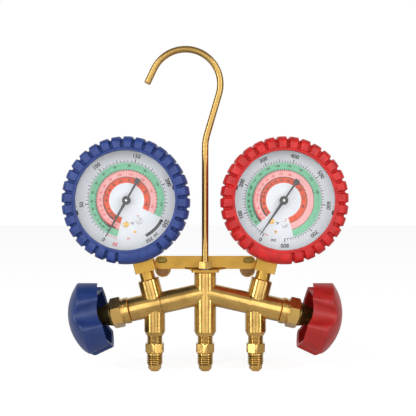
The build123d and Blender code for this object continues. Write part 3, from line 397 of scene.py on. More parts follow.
def make_finishes(colours):
    """Makes every finish of the gauge."""
    brass, tarnish = tuple(colours.brass), tuple(colours.brass_tarnish)
    dull_brass = tuple(part * value for part, value in zip((0.80, 0.74, 0.56), brass))
    steel, dark_steel = (0.62, 0.62, 0.63), (0.36, 0.36, 0.37)
    # Bright and dull tone, amount of tarnish, roughness where polished and where worn, and for some the
    # grain's scale and depth in millimetres, and the coat of lacquer
    metals = {
        "cast brass": (brass, tarnish, 0.75, 0.14, 0.24, 900.0, 0.006, 0.7),
        "turned brass": (brass, tarnish, 0.5, 0.11, 0.20, 1600.0, 0.004, 0.7),
        "sheet brass": (dull_brass, tarnish, 0.65, 0.30, 0.42, 1100.0, 0.006),
        # Dark brass for the glands, thread roots, stud tongues and slot eyelets: painted shade where these
        # sit in shadow or in grooves
        "oiled brass": (colours.gland_brass, (0.17, 0.14, 0.06), 0.9, 0.26, 0.4),
        "plated wire": (colours.wire, tarnish, 0.3, 0.16, 0.24, 1800.0, 0.0008, 0.5),
        "spring bronze": ((0.60, 0.34, 0.16), (0.36, 0.18, 0.08), 0.5, 0.18, 0.3),
        # Dark brown for the discs in the studs' cups: painted shade in the recess
        "stained bronze": ((0.24, 0.12, 0.05), (0.1, 0.055, 0.025), 0.8, 0.24, 0.4),
        "bright steel": (steel, dark_steel, 0.5, 0.14, 0.26),
        "oiled steel": ((0.16, 0.16, 0.165), (0.06, 0.06, 0.06), 0.8, 0.28, 0.4),
        "case steel": (steel, dark_steel, 0.6, 0.26, 0.4, 1100.0, 0.005),
    }
    # Colour, roughness where polished and where worn, the grain's depth in millimetres, and for some its
    # scale, how far the tone varies, and the gloss coat
    moulded = {
        "blue rubber": (colours.blue_rubber, 0.30, 0.46, 0.016),
        "red rubber": (colours.red_rubber, 0.30, 0.46, 0.016),
        "black rubber": ((0.02, 0.02, 0.02), 0.4, 0.55, 0.012),
        "blue plastic": (colours.blue_plastic, 0.32, 0.44, 0.006, 1100.0, 0.1, 0.1),
        "red plastic": (colours.red_plastic, 0.32, 0.44, 0.006, 1100.0, 0.1, 0.1),
        "black enamel": ((0.012, 0.012, 0.014), 0.2, 0.32, 0.004),
        "pointer enamel": ((0.03, 0.03, 0.033), 0.34, 0.46, 0.003, 2400.0),
        "dial enamel": (colours.dial_white, 0.42, 0.5, 0.002, 2400.0, 0.01),
    }
    for name, values in metals.items():
        metal_finish(name, *values)
    for name, values in moulded.items():
        moulded_finish(name, *values)
    for name in INKS:
        ink_finish(name, getattr(colours, name.replace(" ", "_")))
    glass_finish("lens glass")


def finish_named(name):
    """A finish by name; the finishes are made by their own operator."""
    material = bpy.data.materials.get(name)
    if material is None:
        raise RuntimeError(f"finish {name} isn't made yet")
    return material


# ---- Mesh helpers ----


def smooth_step(value):
    """Smooth rise from 0 to 1 over a value's own 0 to 1."""
    value = np.clip(value, 0, 1)
    return value * value * (3 - 2 * value)


def gauge_frame(side):
    """Matrix of a gauge's own frame: x right, y away from the stem, z out of the dial."""
    right = Vector((math.cos(GAUGE_LEAN), 0, -side * math.sin(GAUGE_LEAN)))
    up = Vector((side * math.sin(GAUGE_LEAN), 0, math.cos(GAUGE_LEAN)))
    out = Vector((0, -1, 0))
    matrix = Matrix((right, up, out)).transposed().to_4x4()
    matrix.translation = (side * gauge_x, 0, gauge_z)
    return matrix


def add_piece(name, points, faces, materials, body, matrix=None, face_material=None):
    """Mesh object from points and faces, smooth but for creases, riding on a body."""
    mesh = bpy.data.meshes.new(name)
    mesh.from_pydata([tuple(point) for point in points], [], [tuple(face) for face in faces])
    if matrix is not None:
        mesh.transform(matrix)
    for material in materials:
        mesh.materials.append(finish_named(material))
    if face_material is not None:
        mesh.polygons.foreach_set("material_index", face_material)
    mesh.shade_smooth()
    mesh.set_sharp_from_angle(angle=math.radians(32))
    mesh.update()
    piece = bpy.data.objects.new(name, mesh)
    bpy.context.scene.collection.objects.link(piece)
    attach(piece, body)
    return piece


def ring_faces(rows, columns, close_rows=False):
    """Quads of a grid of points whose columns close on themselves."""
    faces = []
    for row in range(rows if close_rows else rows - 1):
        here, above = row * columns, (row + 1) % rows * columns
        for column in range(columns):
            beside = (column + 1) % columns
            faces.append((here + column, here + beside, above + beside, above + column))
    return faces


def rounded_section(corners):
    """Section outline through corners (radius, depth, rounding), each rounded by its own amount."""
    outline, steps = [], 4
    for index, (radius, depth, rounding) in enumerate(corners):
        here = np.array((radius, depth))
        if rounding == 0:
            outline.append(here)
            continue
        before = np.array(corners[index - 1][:2]) - here
        after = np.array(corners[(index + 1) % len(corners)][:2]) - here
        start = here + before / np.linalg.norm(before) * rounding
        end = here + after / np.linalg.norm(after) * rounding
        for step in range(steps + 1):
            t = step / steps
            outline.append((1 - t) ** 2 * start + 2 * t * (1 - t) * here + t * t * end)
    return np.array(outline)


# ---- Boots ----


def boot_angles(settings):
    """Angles round a boot, close together at the sides of each notch, and how deep a notch is at each."""
    pitch, flank = settings.block_pitch, settings.notch_flank
    half_floor = settings.notch_share / 2
    side = half_floor + np.array((0, 0.25, 0.5, 0.75, 1.0)) * flank
    offsets = np.unique(np.concatenate((-side[::-1], [0], side, [0.5 - 0.06, 0.5 + 0.06])))
    depths = 1 - smooth_step((np.abs(offsets) - half_floor) / flank)
    pitches = round(2 * math.pi / pitch)
    first = (pitches - settings.block_count) / 2
    angles, cuts = [], []
    for index in range(pitches):
        angles.append((first + index + offsets) * pitch)
        # The plain part at the top has no notches
        cuts.append(depths if index <= settings.block_count else np.zeros_like(depths))
    return np.concatenate(angles), np.concatenate(cuts)


def boot_mesh(settings):
    """Points and faces of a boot in the gauge's frame: a section swept round, cut in by the notches."""
    outer = boot_outer_radius
    front, back = boot_front_depth, boot_back_depth
    opening, lip = settings.opening_radius, settings.lip_radius
    case_radius, case_back, case_rounding = 39 * MM, -10 * MM, 2.5 * MM
    bezel_radius, bezel_back, bezel_front = 39.8 * MM, 10.9 * MM, 19.2 * MM
    back_opening, lip_step = 31 * MM, 0.7 * MM
    corners = (
        (opening, bezel_front, 0),
        (opening, front - lip_step, 0.55 * MM),
        (lip - 0.5 * MM, front - lip_step, 0.35 * MM),
        (lip, front, 0.3 * MM),
        (lip + 1.0 * MM, front, 0),
        (lip + 1.8 * MM, front, 0),
        (outer - 3.6 * MM, front, 0),
        (outer - 1.9 * MM, front - 0.9 * MM, 1.2 * MM),
        (outer, front - 4.4 * MM, 1.6 * MM),
        (outer, (front + back) / 2, 0),
        (outer, back + 3.6 * MM, 2.0 * MM),
        (outer - 2.4 * MM, back, 1.6 * MM),
        (back_opening, back, 0.5 * MM),
        (back_opening, case_back, 0),
        (case_radius - case_rounding, case_back, 0),
        (case_radius, case_back + case_rounding, 0),
        (case_radius, bezel_back, 0),
        (bezel_radius, bezel_back, 0),
        (bezel_radius, bezel_front, 0),
    )
    section = rounded_section(corners)
    # Each point's cut: inward on the rim, backward on the front face, fading out at the lip
    radius, depth = section[:, 0], section[:, 1]
    clear_of_bezel = (depth > bezel_front + 1 * MM) | (radius > bezel_radius + 0.5 * MM)
    outside = (radius > lip - 0.2 * MM) & clear_of_bezel
    rim = smooth_step((radius - (outer - 6.0 * MM)) / (5.0 * MM))
    inward = np.where(outside, rim * settings.notch_depth, 0)
    on_face = smooth_step((depth - (front - 5 * MM)) / (4 * MM)) * smooth_step((radius - lip) / (1.0 * MM))
    backward = np.where(outside & (depth > 0), on_face * settings.face_depth, 0)
    angles, cuts = boot_angles(settings)
    points = []
    for angle, cut in zip(angles, cuts):
        turned = -math.pi / 2 - angle
        r = radius - cut * inward
        z = depth - cut * backward
        points.append(np.stack((r * math.cos(turned), r * math.sin(turned), z), axis=1))
    faces = [tuple(reversed(face)) for face in ring_faces(len(angles), len(section), close_rows=True)]
    return np.concatenate(points), faces


class GAUGE_OT_boots(bpy.types.Operator):
    """Makes the rubber boot of each gauge, with its blocks and notches"""

    bl_idname = "manifold_gauge.boots"
    bl_label = "Make Boots"

    def execute(self, context):
        points, faces = boot_mesh(context.scene.gauge_boot)
        for name, side in SIDES.items():
            rubber = [f"{BOOT_COLOUR[name]} rubber"]
            boot = add_piece(f"{name}_rubber_boot", points, faces, rubber, "manifold", gauge_frame(side))
            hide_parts(f"{name}_gauge_boot")
        return {"FINISHED"}


# ---- Flare fittings and parking studs ----


def turned_mesh(sections, columns=96):
    """Points and faces of a closed turned form; each section is (axial, radius or function of the angles)."""
    angles = np.arange(columns) * 2 * math.pi / columns
    rows = []
    for axial, radius in sections:
        r = radius(angles) if callable(radius) else np.full(columns, radius)
        rows.append(np.stack((r * np.cos(angles), r * np.sin(angles), np.full(columns, axial)), axis=1))
    return np.concatenate(rows), ring_faces(len(rows), columns)


def plain_sections(*steps):
    """Round sections, from (axial, radius) in millimetres."""
    return [(axial * MM, radius * MM) for axial, radius in steps]


def hexagon_radius(across, limit):
    """Function of angle that gives a hexagon's radius, no larger than a limit."""

    def radius(angles):
        folded = np.mod(angles + math.pi / 6, math.pi / 3) - math.pi / 6
        return np.minimum(across / 2 / np.cos(folded), limit)

    return radius


def thread_sections(start, end, major, pitch, depth, lead_in=0.0):
    """Sections of a right-handed V thread from start to end, tapered over a lead-in at its start."""
    rows = int(round((end - start) / pitch * 12))
    sections = []
    for row in range(rows + 1):
        along = (end - start) * row / rows

        def radius(angles, along=along):
            turn = along / pitch - angles / (2 * math.pi)
            ridge = 1 - np.abs(2 * (turn - np.floor(turn)) - 1) * 2
            full = major - depth * (0.5 - 0.5 * np.clip(ridge * 1.25 + 0.45, -1, 1))
            return np.minimum(full, major - max(0.0, lead_in - along) * 0.9)

        sections.append((start + along, radius))
    return sections


def fitting_sections(settings):
    """Sections of a male flare fitting from the bore's floor, out over the nose, and up to its shank."""
    across = settings.across_flats
    hex_start, hex_end = 8.2 * MM, 14.5 * MM
    corner = across / 2 / math.cos(math.pi / 6)
    # How far from an end of the hexagon, and how far its corners are turned off there
    turned_off = ((0, 0.75 * MM), (0.22 * MM, 0.35 * MM), (0.6 * MM, 0.05 * MM))
    sections = [(2.0 * MM, PINHOLE)]
    sections += plain_sections((2.0, 2.4), (-4.75, 2.4), (-5.1, 2.7), (-5.1, 2.55), (-4.88, 2.85))
    sections += plain_sections((-3.4, 4.45), (-2.95, 4.65), (-0.9, 4.65), (-0.62, 4.75))
    pitch, depth = settings.pitch, settings.depth
    sections += thread_sections(-0.55 * MM, 5.55 * MM, THREAD_RADIUS, pitch, depth, 0.8 * MM)
    sections += plain_sections((5.7, 4.9), (6.15, 4.9), (6.3, 5.405), (6.45, 5.555), (7.6, 5.555))
    sections += plain_sections((7.75, 5.435), (7.85, 4.9), (8.18, 4.9))
    ends = [(inset, hexagon_radius(across, corner - cut)) for inset, cut in turned_off]
    sections += [(hex_start + inset, radius) for inset, radius in ends]
    sections += [(hex_end - inset, radius) for inset, radius in reversed(ends)]
    sections += plain_sections((14.5, 5.1), (14.8, 5.1))
    sections += thread_sections(hex_end + 0.35 * MM, 20.4 * MM, 5.35 * MM, 0.94 * MM, 0.34 * MM)
    sections += [(fitting_top - 0.1 * MM, 5.0 * MM), (fitting_top - 0.1 * MM, PINHOLE)]
    return sections


def stud_sections(settings):
    """Sections of a blank parking stud along its axis, from its cup in front to its nose at the back."""
    cup_floor, cup_radius = stud_front + 4 * MM, 4.3 * MM
    sections = [(cup_floor, PINHOLE), (cup_floor, cup_radius - 0.3 * MM), (cup_floor - 0.3 * MM, cup_radius)]
    sections += plain_sections((9.3, 4.3), (9.1, 4.5), (9.1, 4.8), (9.3, 5.0), (10.3, 5.0))
    sections += plain_sections((10.4, 4.9), (11.1, 4.9))
    sections += thread_sections(11.4 * MM, 18.4 * MM, THREAD_RADIUS, settings.pitch, settings.depth)
    sections += plain_sections((18.5, 4.65), (19.5, 4.65))
    sections += [(stud_back, 2.7 * MM), (stud_back, PINHOLE)]
    return sections


def prism(outline, near, far):
    """Points and faces of a prism along Y; the outline runs counter-clockwise seen from -Y."""
    count = len(outline)
    points = [(x, y, z) for y in (near, far) for x, z in outline]
    faces = [tuple(range(count)), tuple(range(2 * count - 1, count - 1, -1))]
    for index in range(count):
        beside = (index + 1) % count
        faces.append((index, count + index, count + beside, beside))
    return points, faces


def tongue_mesh(side):
    """Tongue behind the bracket that carries a stud, and its stub staked in the bracket's slot."""
    half, stub_radius = 3.35 * MM, 1.4 * MM
    x, low, chamfer = SLOT_X * side, STUD_Z + 4.45 * MM, (1.2 * MM, 1.6 * MM)
    # From inside the stud's own rim up past the slot
    outline = [(x - half, low - chamfer[1]), (x - half + chamfer[0], low), (x + half - chamfer[0], low)]
    outline += [(x + half, low - chamfer[1]), (x + half, SLOT_Z + 1.4 * MM), (x - half, SLOT_Z + 1.4 * MM)]
    points, faces = prism(outline, BRACKET_BACK, BRACKET_BACK + 1.2 * MM)
    stub = []
    for centre, first in ((half - stub_radius, -90), (stub_radius - half, 90)):
        for step in range(13):
            angle = math.radians(first + 15 * step)
            stub.append((x + centre + stub_radius * math.cos(angle), SLOT_Z + stub_radius * math.sin(angle)))
    stub_points, stub_faces = prism(stub, BRACKET_BACK - 1.2 * MM, BRACKET_BACK)
    faces += [tuple(len(points) + index for index in face) for face in stub_faces]
    return points + stub_points, faces


def eyelet_mesh(side):
    """Oval rolled lip round a slot on the bracket's front."""
    straight, columns = 1.95 * MM, 48
    inner, outer, face, seat, rounding = 1.35 * MM, 2.0 * MM, 6.95 * MM, 7.55 * MM, 0.26 * MM
    section = rounded_section(
        [(outer, seat, 0), (outer, face, rounding), (inner, face, rounding), (inner, seat, 0)]
    )
    points = []
    for radius, depth in section:
        for column in range(columns):
            angle = 2 * math.pi * column / columns
            x = SLOT_X * side + math.copysign(straight, math.cos(angle)) + radius * math.cos(angle)
            points.append((x, depth, SLOT_Z + radius * math.sin(angle)))
    return points, ring_faces(len(section), columns, close_rows=True)


def root_faces(points, faces, zones):
    """1 for each face in a thread's root, else 0; a zone is (start, end, radius that a root stays under)."""
    radii = np.hypot(points[:, 0], points[:, 1])
    marks = []
    for face in faces:
        corners = list(face)
        axial, radius = points[corners, 2].mean(), radii[corners].mean()
        marks.append(int(any(start < axial < end and radius < limit for start, end, limit in zones)))
    return marks


class GAUGE_OT_fittings(bpy.types.Operator):
    """Makes the three flare fittings with real threads and hexagons"""

    bl_idname = "manifold_gauge.fittings"
    bl_label = "Make Flare Fittings"

    def execute(self, context):
        settings = context.scene.gauge_thread
        points, faces = turned_mesh(fitting_sections(settings))
        root = THREAD_RADIUS - 0.45 * settings.depth
        # Faces in the thread roots take the dark brass: painted shade in the grooves
        marks = root_faces(points, faces, ((-0.6 * MM, 6.2 * MM, root), (14.6 * MM, 20.4 * MM, 5.22 * MM)))
        metals = ["turned brass", "oiled brass"]
        places = {"charging_fitting": 0.0, "low_side_fitting": -port_x, "high_side_fitting": port_x}
        for node, x in places.items():
            place = Matrix.Translation((x, 0, 0))
            fitting = add_piece(f"{node}_threaded", points, faces, metals, "manifold", place, marks)
            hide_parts(node)
        return {"FINISHED"}


class GAUGE_OT_studs(bpy.types.Operator):
    """Makes the threaded parking studs behind the bracket"""

    bl_idname = "manifold_gauge.studs"
    bl_label = "Make Parking Studs"

    def execute(self, context):
        settings = context.scene.gauge_thread
        points, faces = turned_mesh(stud_sections(settings))
        # Thread roots, tongue, stub and eyelet take the dark brass: painted shade in grooves, behind the
        # bracket and round the slot
        marks = root_faces(points, faces, ((11.2 * MM, 18.4 * MM, THREAD_RADIUS - 0.45 * settings.depth),))
        # Dark disc filling each stud's cup: painted shade in the recess
        disc = turned_mesh(plain_sections((9.9, 0.02), (9.9, 4.25), (10.0, 4.25), (10.0, 0.02)), 48)
        metals = ["turned brass", "oiled brass"]
        for name, side in SIDES.items():
            # The stud's axis runs along +Y
            axis = Matrix.Translation((side * STUD_X, 0, STUD_Z)) @ Matrix.Rotation(-math.pi / 2, 4, "X")
            stud = add_piece(f"{name}_stud_thread", points, faces, metals, "manifold", axis, marks)
            tongue = add_piece(f"{name}_stud_tongue", *tongue_mesh(side), ["oiled brass"], "manifold")
            floor = add_piece(f"{name}_stud_shade_disc", *disc, ["stained bronze"], "manifold", axis)
            eyelet = add_piece(f"{name}_slot_eyelet", *eyelet_mesh(side), ["oiled brass"], "manifold")
            for piece in (stud, tongue, floor, eyelet):
                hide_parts(f"{name}_parking_stud")
        return {"FINISHED"}


# ---- Dials ----


def on_dial(angle, radius):
    """Place on a dial at an angle in degrees, clockwise from the stem."""
    return -radius * math.sin(math.radians(angle)), -radius * math.cos(math.radians(angle))


def turned_by(angle, x, y):
    """A place turned about the origin by an angle in radians."""
    cosine, sine = math.cos(angle), math.sin(angle)
    return x * cosine - y * sine, x * sine + y * cosine


class Print:
    """Flat printed shapes on a dial, gathered with the ink of each face."""

    def __init__(self, depth):
        self.depth = depth
        self.points, self.faces, self.inks = [], [], []

    def add(self, outline, ink, lift=0.0):
        """One flat face from its outline's points."""
        start = len(self.points)
        self.points += [(x, y, self.depth + lift) for x, y in outline]
        self.faces.append(tuple(range(start, start + len(outline))))
        self.inks.append(ink)

    def band(self, inner, outer, start, end, ink, lift=0.0):
        """Ring segment between two angles in degrees, in steps of about 2 degrees."""
        count = max(2, int(abs(end - start) / 2))
        for index in range(count):
            here, there = (start + (end - start) * (index + extra) / count for extra in (0, 1))
            corners = ((here, inner), (here, outer), (there, outer), (there, inner))
            self.add([on_dial(*corner) for corner in corners], ink, lift)

    def tick(self, angle, inner, outer, width, ink, lift=0.0):
        """Straight tick along a radius."""
        (ax, ay), (bx, by) = on_dial(angle, inner), on_dial(angle, outer)
        reach = math.hypot(bx - ax, by - ay)
        nx, ny = -(by - ay) / reach * width / 2, (bx - ax) / reach * width / 2
        self.add([(ax - nx, ay - ny), (bx - nx, by - ny), (bx + nx, by + ny), (ax + nx, ay + ny)], ink, lift)

    def write(self, words, angle, radius, height, ink, lift=0.0, turn=0.0):
        """Words centred at an angle and radius, their tops outward unless turned (degrees)."""
        curve = bpy.data.curves.new("lettering", "FONT")
        curve.body = words
        curve.size = height / 0.7
        curve.align_x = curve.align_y = "CENTER"
        curve.resolution_u = 3
        curve.offset = height * 0.045
        holder = bpy.data.objects.new("lettering", curve)
        letters = bpy.data.meshes.new_from_object(holder)
        x, y = on_dial(angle, radius)
        heading = math.radians(180 - angle + turn)
        start = len(self.points)
        for vertex in letters.vertices:
            across, up = turned_by(heading, vertex.co.x, vertex.co.y)
            self.points.append((x + across, y + up, self.depth + lift))
        for polygon in letters.polygons:
            self.faces.append(tuple(start + index for index in polygon.vertices))
            self.inks.append(ink)
        bpy.data.objects.remove(holder)
        bpy.data.curves.remove(curve)
        bpy.data.meshes.remove(letters)


# Refrigerant bands from outside in: boiling point in degrees Fahrenheit, slope of the vapour curve
# in degrees Rankine, ink of the band and of its figures
VAPOURS = ((-41.4, 4408.0, GREEN, BLACK), (-15.0, 4859.0, PINK, RED), (-51.0, 4268.0, ORANGE, BLACK))
ATMOSPHERE = 14.7
RANKINE = 459.7


def vapour_pressure(temperature, boiling_point, slope):
    """Gauge pressure in psi at which a refrigerant boils at a temperature in degrees Fahrenheit."""
    return ATMOSPHERE * (math.exp(slope * (1 / (boiling_point + RANKINE) - 1 / (temperature + RANKINE))) - 1)


def band_radii(settings):
    """Inner and outer radius of each temperature band, outside in."""
    first = settings.band_inner
    second = first + settings.inner_band_width
    third = second + settings.middle_band_width
    fourth = third + settings.outer_band_width
    return ((third, fourth), (second, third), (first, second))


def print_bands(sheet, settings, first, last, zero, per_psi, top_pressure):
    """Coloured temperature bands between two angles, with their ticks and small figures."""
    lift = settings.print_height / 3
    for (inner, outer), (boiling, slope, ink, figures) in zip(band_radii(settings), VAPOURS):
        sheet.band(inner, outer, first, last, ink)
        width = outer - inner
        edge, inward = (inner, 1) if ink == GREEN else (outer, -1)
        last_figure = None
        sheet.band(edge, edge + inward * 0.22 * MM, first, last, figures, lift)
        for temperature in range(-40, 181, 2):
            pressure = vapour_pressure(temperature, boiling, slope)
            angle = zero + pressure * per_psi
            if not first + 2 < angle < last - 2 or pressure > top_pressure:
                continue
            labelled = temperature % 10 == 0
            reach = width * (0.34 if labelled else 0.26)
            sheet.tick(angle, edge, edge + inward * reach, 0.36 * MM, figures, lift)
            middle = edge + inward * width * 0.62
            clear = last_figure is None or math.radians(angle - last_figure) * middle > 2.7 * MM
            if labelled and clear:
                sheet.write(str(temperature), angle, middle, 1.4 * MM, figures, lift)
                last_figure = angle


def print_scale(sheet, settings, zero, per_psi, end, top, spacings):
    """Pressure scale up to a top pressure; spacings in psi are of its numbers, middle and small ticks."""
    radius = settings.scale_radius
    sheet.band(radius - 0.2 * MM, radius + 0.06 * MM, zero, end, BLACK)
    # Length and width of each kind of tick
    ticks = ((2.5, 0.62), (1.9, 0.46), (1.4, 0.36))
    for psi in range(0, top + 1, spacings[-1]):
        angle = zero + psi * per_psi
        kind = [psi % spacing == 0 for spacing in spacings].index(True)
        reach, width = ticks[kind]
        sheet.tick(angle, radius - 0.1 * MM, radius + reach * MM, width * MM, BLACK)
        if kind == 0:
            sheet.write(str(psi), angle, settings.number_radius, settings.number_height, BLACK)


def print_low_dial(sheet, settings):
    """Low side dial: vacuum to 250 psi, with a retard range."""
    zero, per_psi = 45.0, 54.0 / 50
    radius = settings.scale_radius
    number_radius, number_height = settings.number_radius, settings.number_height
    print_bands(sheet, settings, 29, 311, zero, per_psi, 246)
    print_scale(sheet, settings, zero, per_psi, 311, 250, (50, 25, 5))
    # Vacuum scale, in inches of mercury
    sheet.band(radius - 0.1 * MM, radius + 0.15 * MM, 29.4, 44, RED)
    for inches in range(0, 31, 5):
        reach = 2.1 if inches % 30 == 0 else 1.2
        sheet.tick(zero - inches * 0.52, radius, radius + reach * MM, 0.3 * MM, RED)
    sheet.write("30", 29.0, number_radius, number_height * 0.95, RED)
    # Retard range
    sheet.band(radius + 0.2 * MM, radius + 2.3 * MM, 313, 346, BLACK)
    sheet.write("350", 344.5, number_radius + 0.2 * MM, number_height * 0.9, BLACK)
    sheet.write("psi", 334.5, number_radius + 0.1 * MM, number_height * 0.75, BLACK)


def print_high_dial(sheet, settings):
    """High side dial: 0 to 800 psi."""
    zero, per_psi = 16.0, 41.0 / 100
    print_bands(sheet, settings, 32, 330, zero, per_psi, 760)
    print_scale(sheet, settings, zero, per_psi, 344, 800, (100, 50, 10))
    sheet.write("psi", 0.0, settings.number_radius - 2.6 * MM, settings.number_height * 0.8, BLACK)


class GAUGE_OT_dials(bpy.types.Operator):
    """Prints both dials: temperature bands, pressure scales and figures"""

    bl_idname = "manifold_gauge.dials"
    bl_label = "Print Dials"

    def execute(self, context):
        settings = context.scene.gauge_dial
        printers = {"low": print_low_dial, "high": print_high_dial}
        for name, side in SIDES.items():
            sheet = Print(dial_face_depth + settings.print_height)
            printers[name](sheet, settings)
            sheet.write("°F", 1.0, 16.6 * MM, 1.7 * MM, BLACK, turn=180)
            sheet.write("°F", 339.0, 13.6 * MM, 1.3 * MM, ORANGE, turn=180)
            sheet.write("psi", 12.0, 26.4 * MM, 1.3 * MM, RED, turn=180)
            shapes = (sheet.points, sheet.faces, INKS)
            piece = add_piece(f"{name}_dial_print", *shapes, "manifold", gauge_frame(side), sheet.inks)
        return {"FINISHED"}


# ---- Dial screws ----


def slotted_head(radius, slot_width, base, heading):
    """Screw head with a slot: a disc and two half moons standing on it; heading is the slot's angle."""
    segments, top, rounding = 40, base + 0.9 * MM, 0.3 * MM
    half_slot = slot_width / 2
    floor_depth = base + (top - base) * 0.35
    angles = [2 * math.pi * index / segments for index in range(segments)]
    points = [(radius * math.cos(a), radius * math.sin(a), z) for z in (base, floor_depth) for a in angles]
    faces = [tuple(range(segments - 1, -1, -1)), tuple(range(segments, 2 * segments))]
    faces += ring_faces(2, segments)
    levels = (
        (radius, half_slot, floor_depth),
        (radius, half_slot, top - rounding),
        (radius - rounding * 0.4, half_slot + rounding * 0.3, top - rounding * 0.3),
        (radius - rounding, half_slot + rounding * 0.6, top),
    )
    count = segments // 2
    moon = ring_faces(len(levels), count)
    moon.append(tuple(range((len(levels) - 1) * count, len(levels) * count)))
    for sign in (1, -1):
        start = len(points)
        for reach, inset, depth in levels:
            edge = math.asin(inset / reach)
            for index in range(count):
                a = edge + (math.pi - 2 * edge) * index / (count - 1)
                points.append((reach * math.cos(a), sign * reach * math.sin(a), depth))
        for face in moon:
            shifted = [start + index for index in face]
            faces.append(tuple(shifted if sign > 0 else reversed(shifted)))
    return [(*turned_by(heading, x, y), z) for x, y, z in points], faces


class GAUGE_OT_dial_screws(bpy.types.Operator):
    """Makes the slotted screws that hold each dial"""

    bl_idname = "manifold_gauge.dial_screws"
    bl_label = "Make Dial Screws"

    def execute(self, context):
        finishes = ["turned brass", "bright steel"]
        # Angle from the stem, radius on the dial, head radius, slot heading and which finish
        screws = ((15.5, 16.7, 2.0, 100, 0), (-17.0, 16.7, 2.3, 35, 1), (0.0, 22.5, 1.0, 60, 0))
        points, faces, marks = [], [], []
        for angle, radius, head, heading, finish in screws:
            x, y = on_dial(angle, radius * MM)
            head_points, head_faces = slotted_head(
                head * MM, head * 0.34 * MM, dial_face_depth, math.radians(heading),
            )
            faces += [tuple(len(points) + index for index in face) for face in head_faces]
            points += [(px + x, py + y, pz) for px, py, pz in head_points]
            marks += [finish] * len(head_faces)
        for name, side in SIDES.items():
            shapes = (points, faces, finishes)
            piece = add_piece(f"{name}_slotted_screws", *shapes, "manifold", gauge_frame(side), marks)
            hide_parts(f"{name}_dial_screws")
        return {"FINISHED"}


# ---- Finishes on the frame's own pieces ----

# Finishes of the pieces that the gauge has once, and of those that it has on each side
SHARED_PIECES = {
    "cast brass": ("manifold_body",),
    "sheet brass": ("hook_bracket",),
    "oiled steel": ("hook_lock_washer",),
    "turned brass": ("hook_nut",),
    "plated wire": ("hanging_hook",),
}
SIDE_PIECES = {
    "turned brass": (
        "bonnet", "seat_disc", "valve_stem", "knob_screw", "tube_tip", "movement_frame", "sector_gear",
        "tip_link", "parking_stud",
    ),
    # The glands' dark brass is painted shade
    "oiled brass": ("gland",),
    "sheet brass": ("gauge_socket",),
    "spring bronze": ("bourdon_tube", "hairspring"),
    "case steel": ("gauge_case",),
    "bright steel": ("pinion_shaft",),
    "black enamel": ("bezel_ring",),
    "black rubber": ("lens_gasket", "stem_orings"),
    "dial enamel": ("dial",),
    "pointer enamel": ("pointer",),
    "lens glass": ("lens",),
}


def dress(pieces, prefix=""):
    """Gives nodes of the frame their finish; pieces maps a finish to the names that follow a prefix."""
    for finish, names in pieces.items():
        for name in names:
            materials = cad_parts[prefix + name].data.materials
            materials.clear()
            materials.append(finish_named(finish))


class GAUGE_OT_finishes(bpy.types.Operator):
    """Makes every finish and puts it on the frame's own pieces"""

    bl_idname = "manifold_gauge.finishes"
    bl_label = "Make Finishes"

    def execute(self, context):
        make_finishes(context.scene.gauge_colours)
        dress(SHARED_PIECES)
        for name in SIDES:
            dress({**SIDE_PIECES, f"{BOOT_COLOUR[name]} plastic": ("valve_knob",)}, f"{name}_")
        return {"FINISHED"}


# ---- Studio ----


def floor_finish(name):
    """Pale polished floor that looks almost white to the camera and keeps the object's shadow."""
    tree, shader = new_finish(name, Base_Color=(0.85, 0.85, 0.85), Roughness=0.08)
    glow = add_node(tree, "Emission", {"Color": (1, 1, 1), "Strength": 1.36}).outputs["Emission"]
    matte = add_node(tree, "BsdfDiffuse", {"Color": (0.9, 0.9, 0.9)}).outputs["BSDF"]
    path = add_node(tree, "LightPath").outputs
    seen = maths(tree, "MAXIMUM", path["Is Camera Ray"], path["Is Transmission Ray"])
    surface = mixed_shaders(tree, seen, shader.outputs["BSDF"], mixed_shaders(tree, 0.62, matte, glow))
    tree.links.new(surface, tree.nodes["Material Output"].inputs["Surface"])


def make_floor():
    """Round floor, wide enough for every view."""
    reach, segments = 5.0, 64
    angles = [2 * math.pi * index / segments for index in range(segments)]
    points = [(reach * math.cos(angle), reach * math.sin(angle), floor_height) for angle in angles]
    mesh = bpy.data.meshes.new("floor")
    mesh.from_pydata(points, [], [tuple(range(segments))])
    floor_finish("pale floor")
    mesh.materials.append(finish_named("pale floor"))
    floor = bpy.data.objects.new("floor", mesh)
    bpy.context.scene.collection.objects.link(floor)


def add_lamp(name, place, aim, size, watts):
    """Soft white area lamp at a place, turned to its aim."""
    lamp = bpy.data.lights.new(name, "AREA")
    lamp.shape = "RECTANGLE"
    lamp.size, lamp.size_y = size
    lamp.energy = watts
    holder = bpy.data.objects.new(name, lamp)
    holder.location = place
    holder.rotation_euler = (Vector(aim) - Vector(place)).to_track_quat("-Z", "Y").to_euler()
    bpy.context.scene.collection.objects.link(holder)


def make_world(room_level):
    """Room light: bright from the viewer's side and from behind, dim from the sides for contrast on metal."""
    world = bpy.data.worlds.new("studio")
    world.use_nodes = True
    bpy.context.scene.world = world
    tree = world.node_tree
    direction = add_node(tree, "TexCoord").outputs["Generated"]
    axis = add_node(tree, "SeparateXYZ", {"Vector": direction}).outputs
    in_front = remap(tree, axis["Y"], -0.7, -0.1, 1.0, 0.42)
    behind = remap(tree, axis["Y"], 0.35, 0.75, 0.0, 1.3)
    above = remap(tree, axis["Z"], 0.45, 0.95, 1.0, 0.9)
    level = maths(tree, "MULTIPLY", maths(tree, "ADD", in_front, behind), above)
    level = maths(tree, "MULTIPLY", level, room_level)
    # The backdrop itself is white
    level = maths(tree, "MAXIMUM", level, add_node(tree, "LightPath").outputs["Is Camera Ray"])
    background = tree.nodes["Background"]
    feed(tree, background.inputs["Strength"], level)
    feed(tree, background.inputs["Color"], (1, 1, 1))


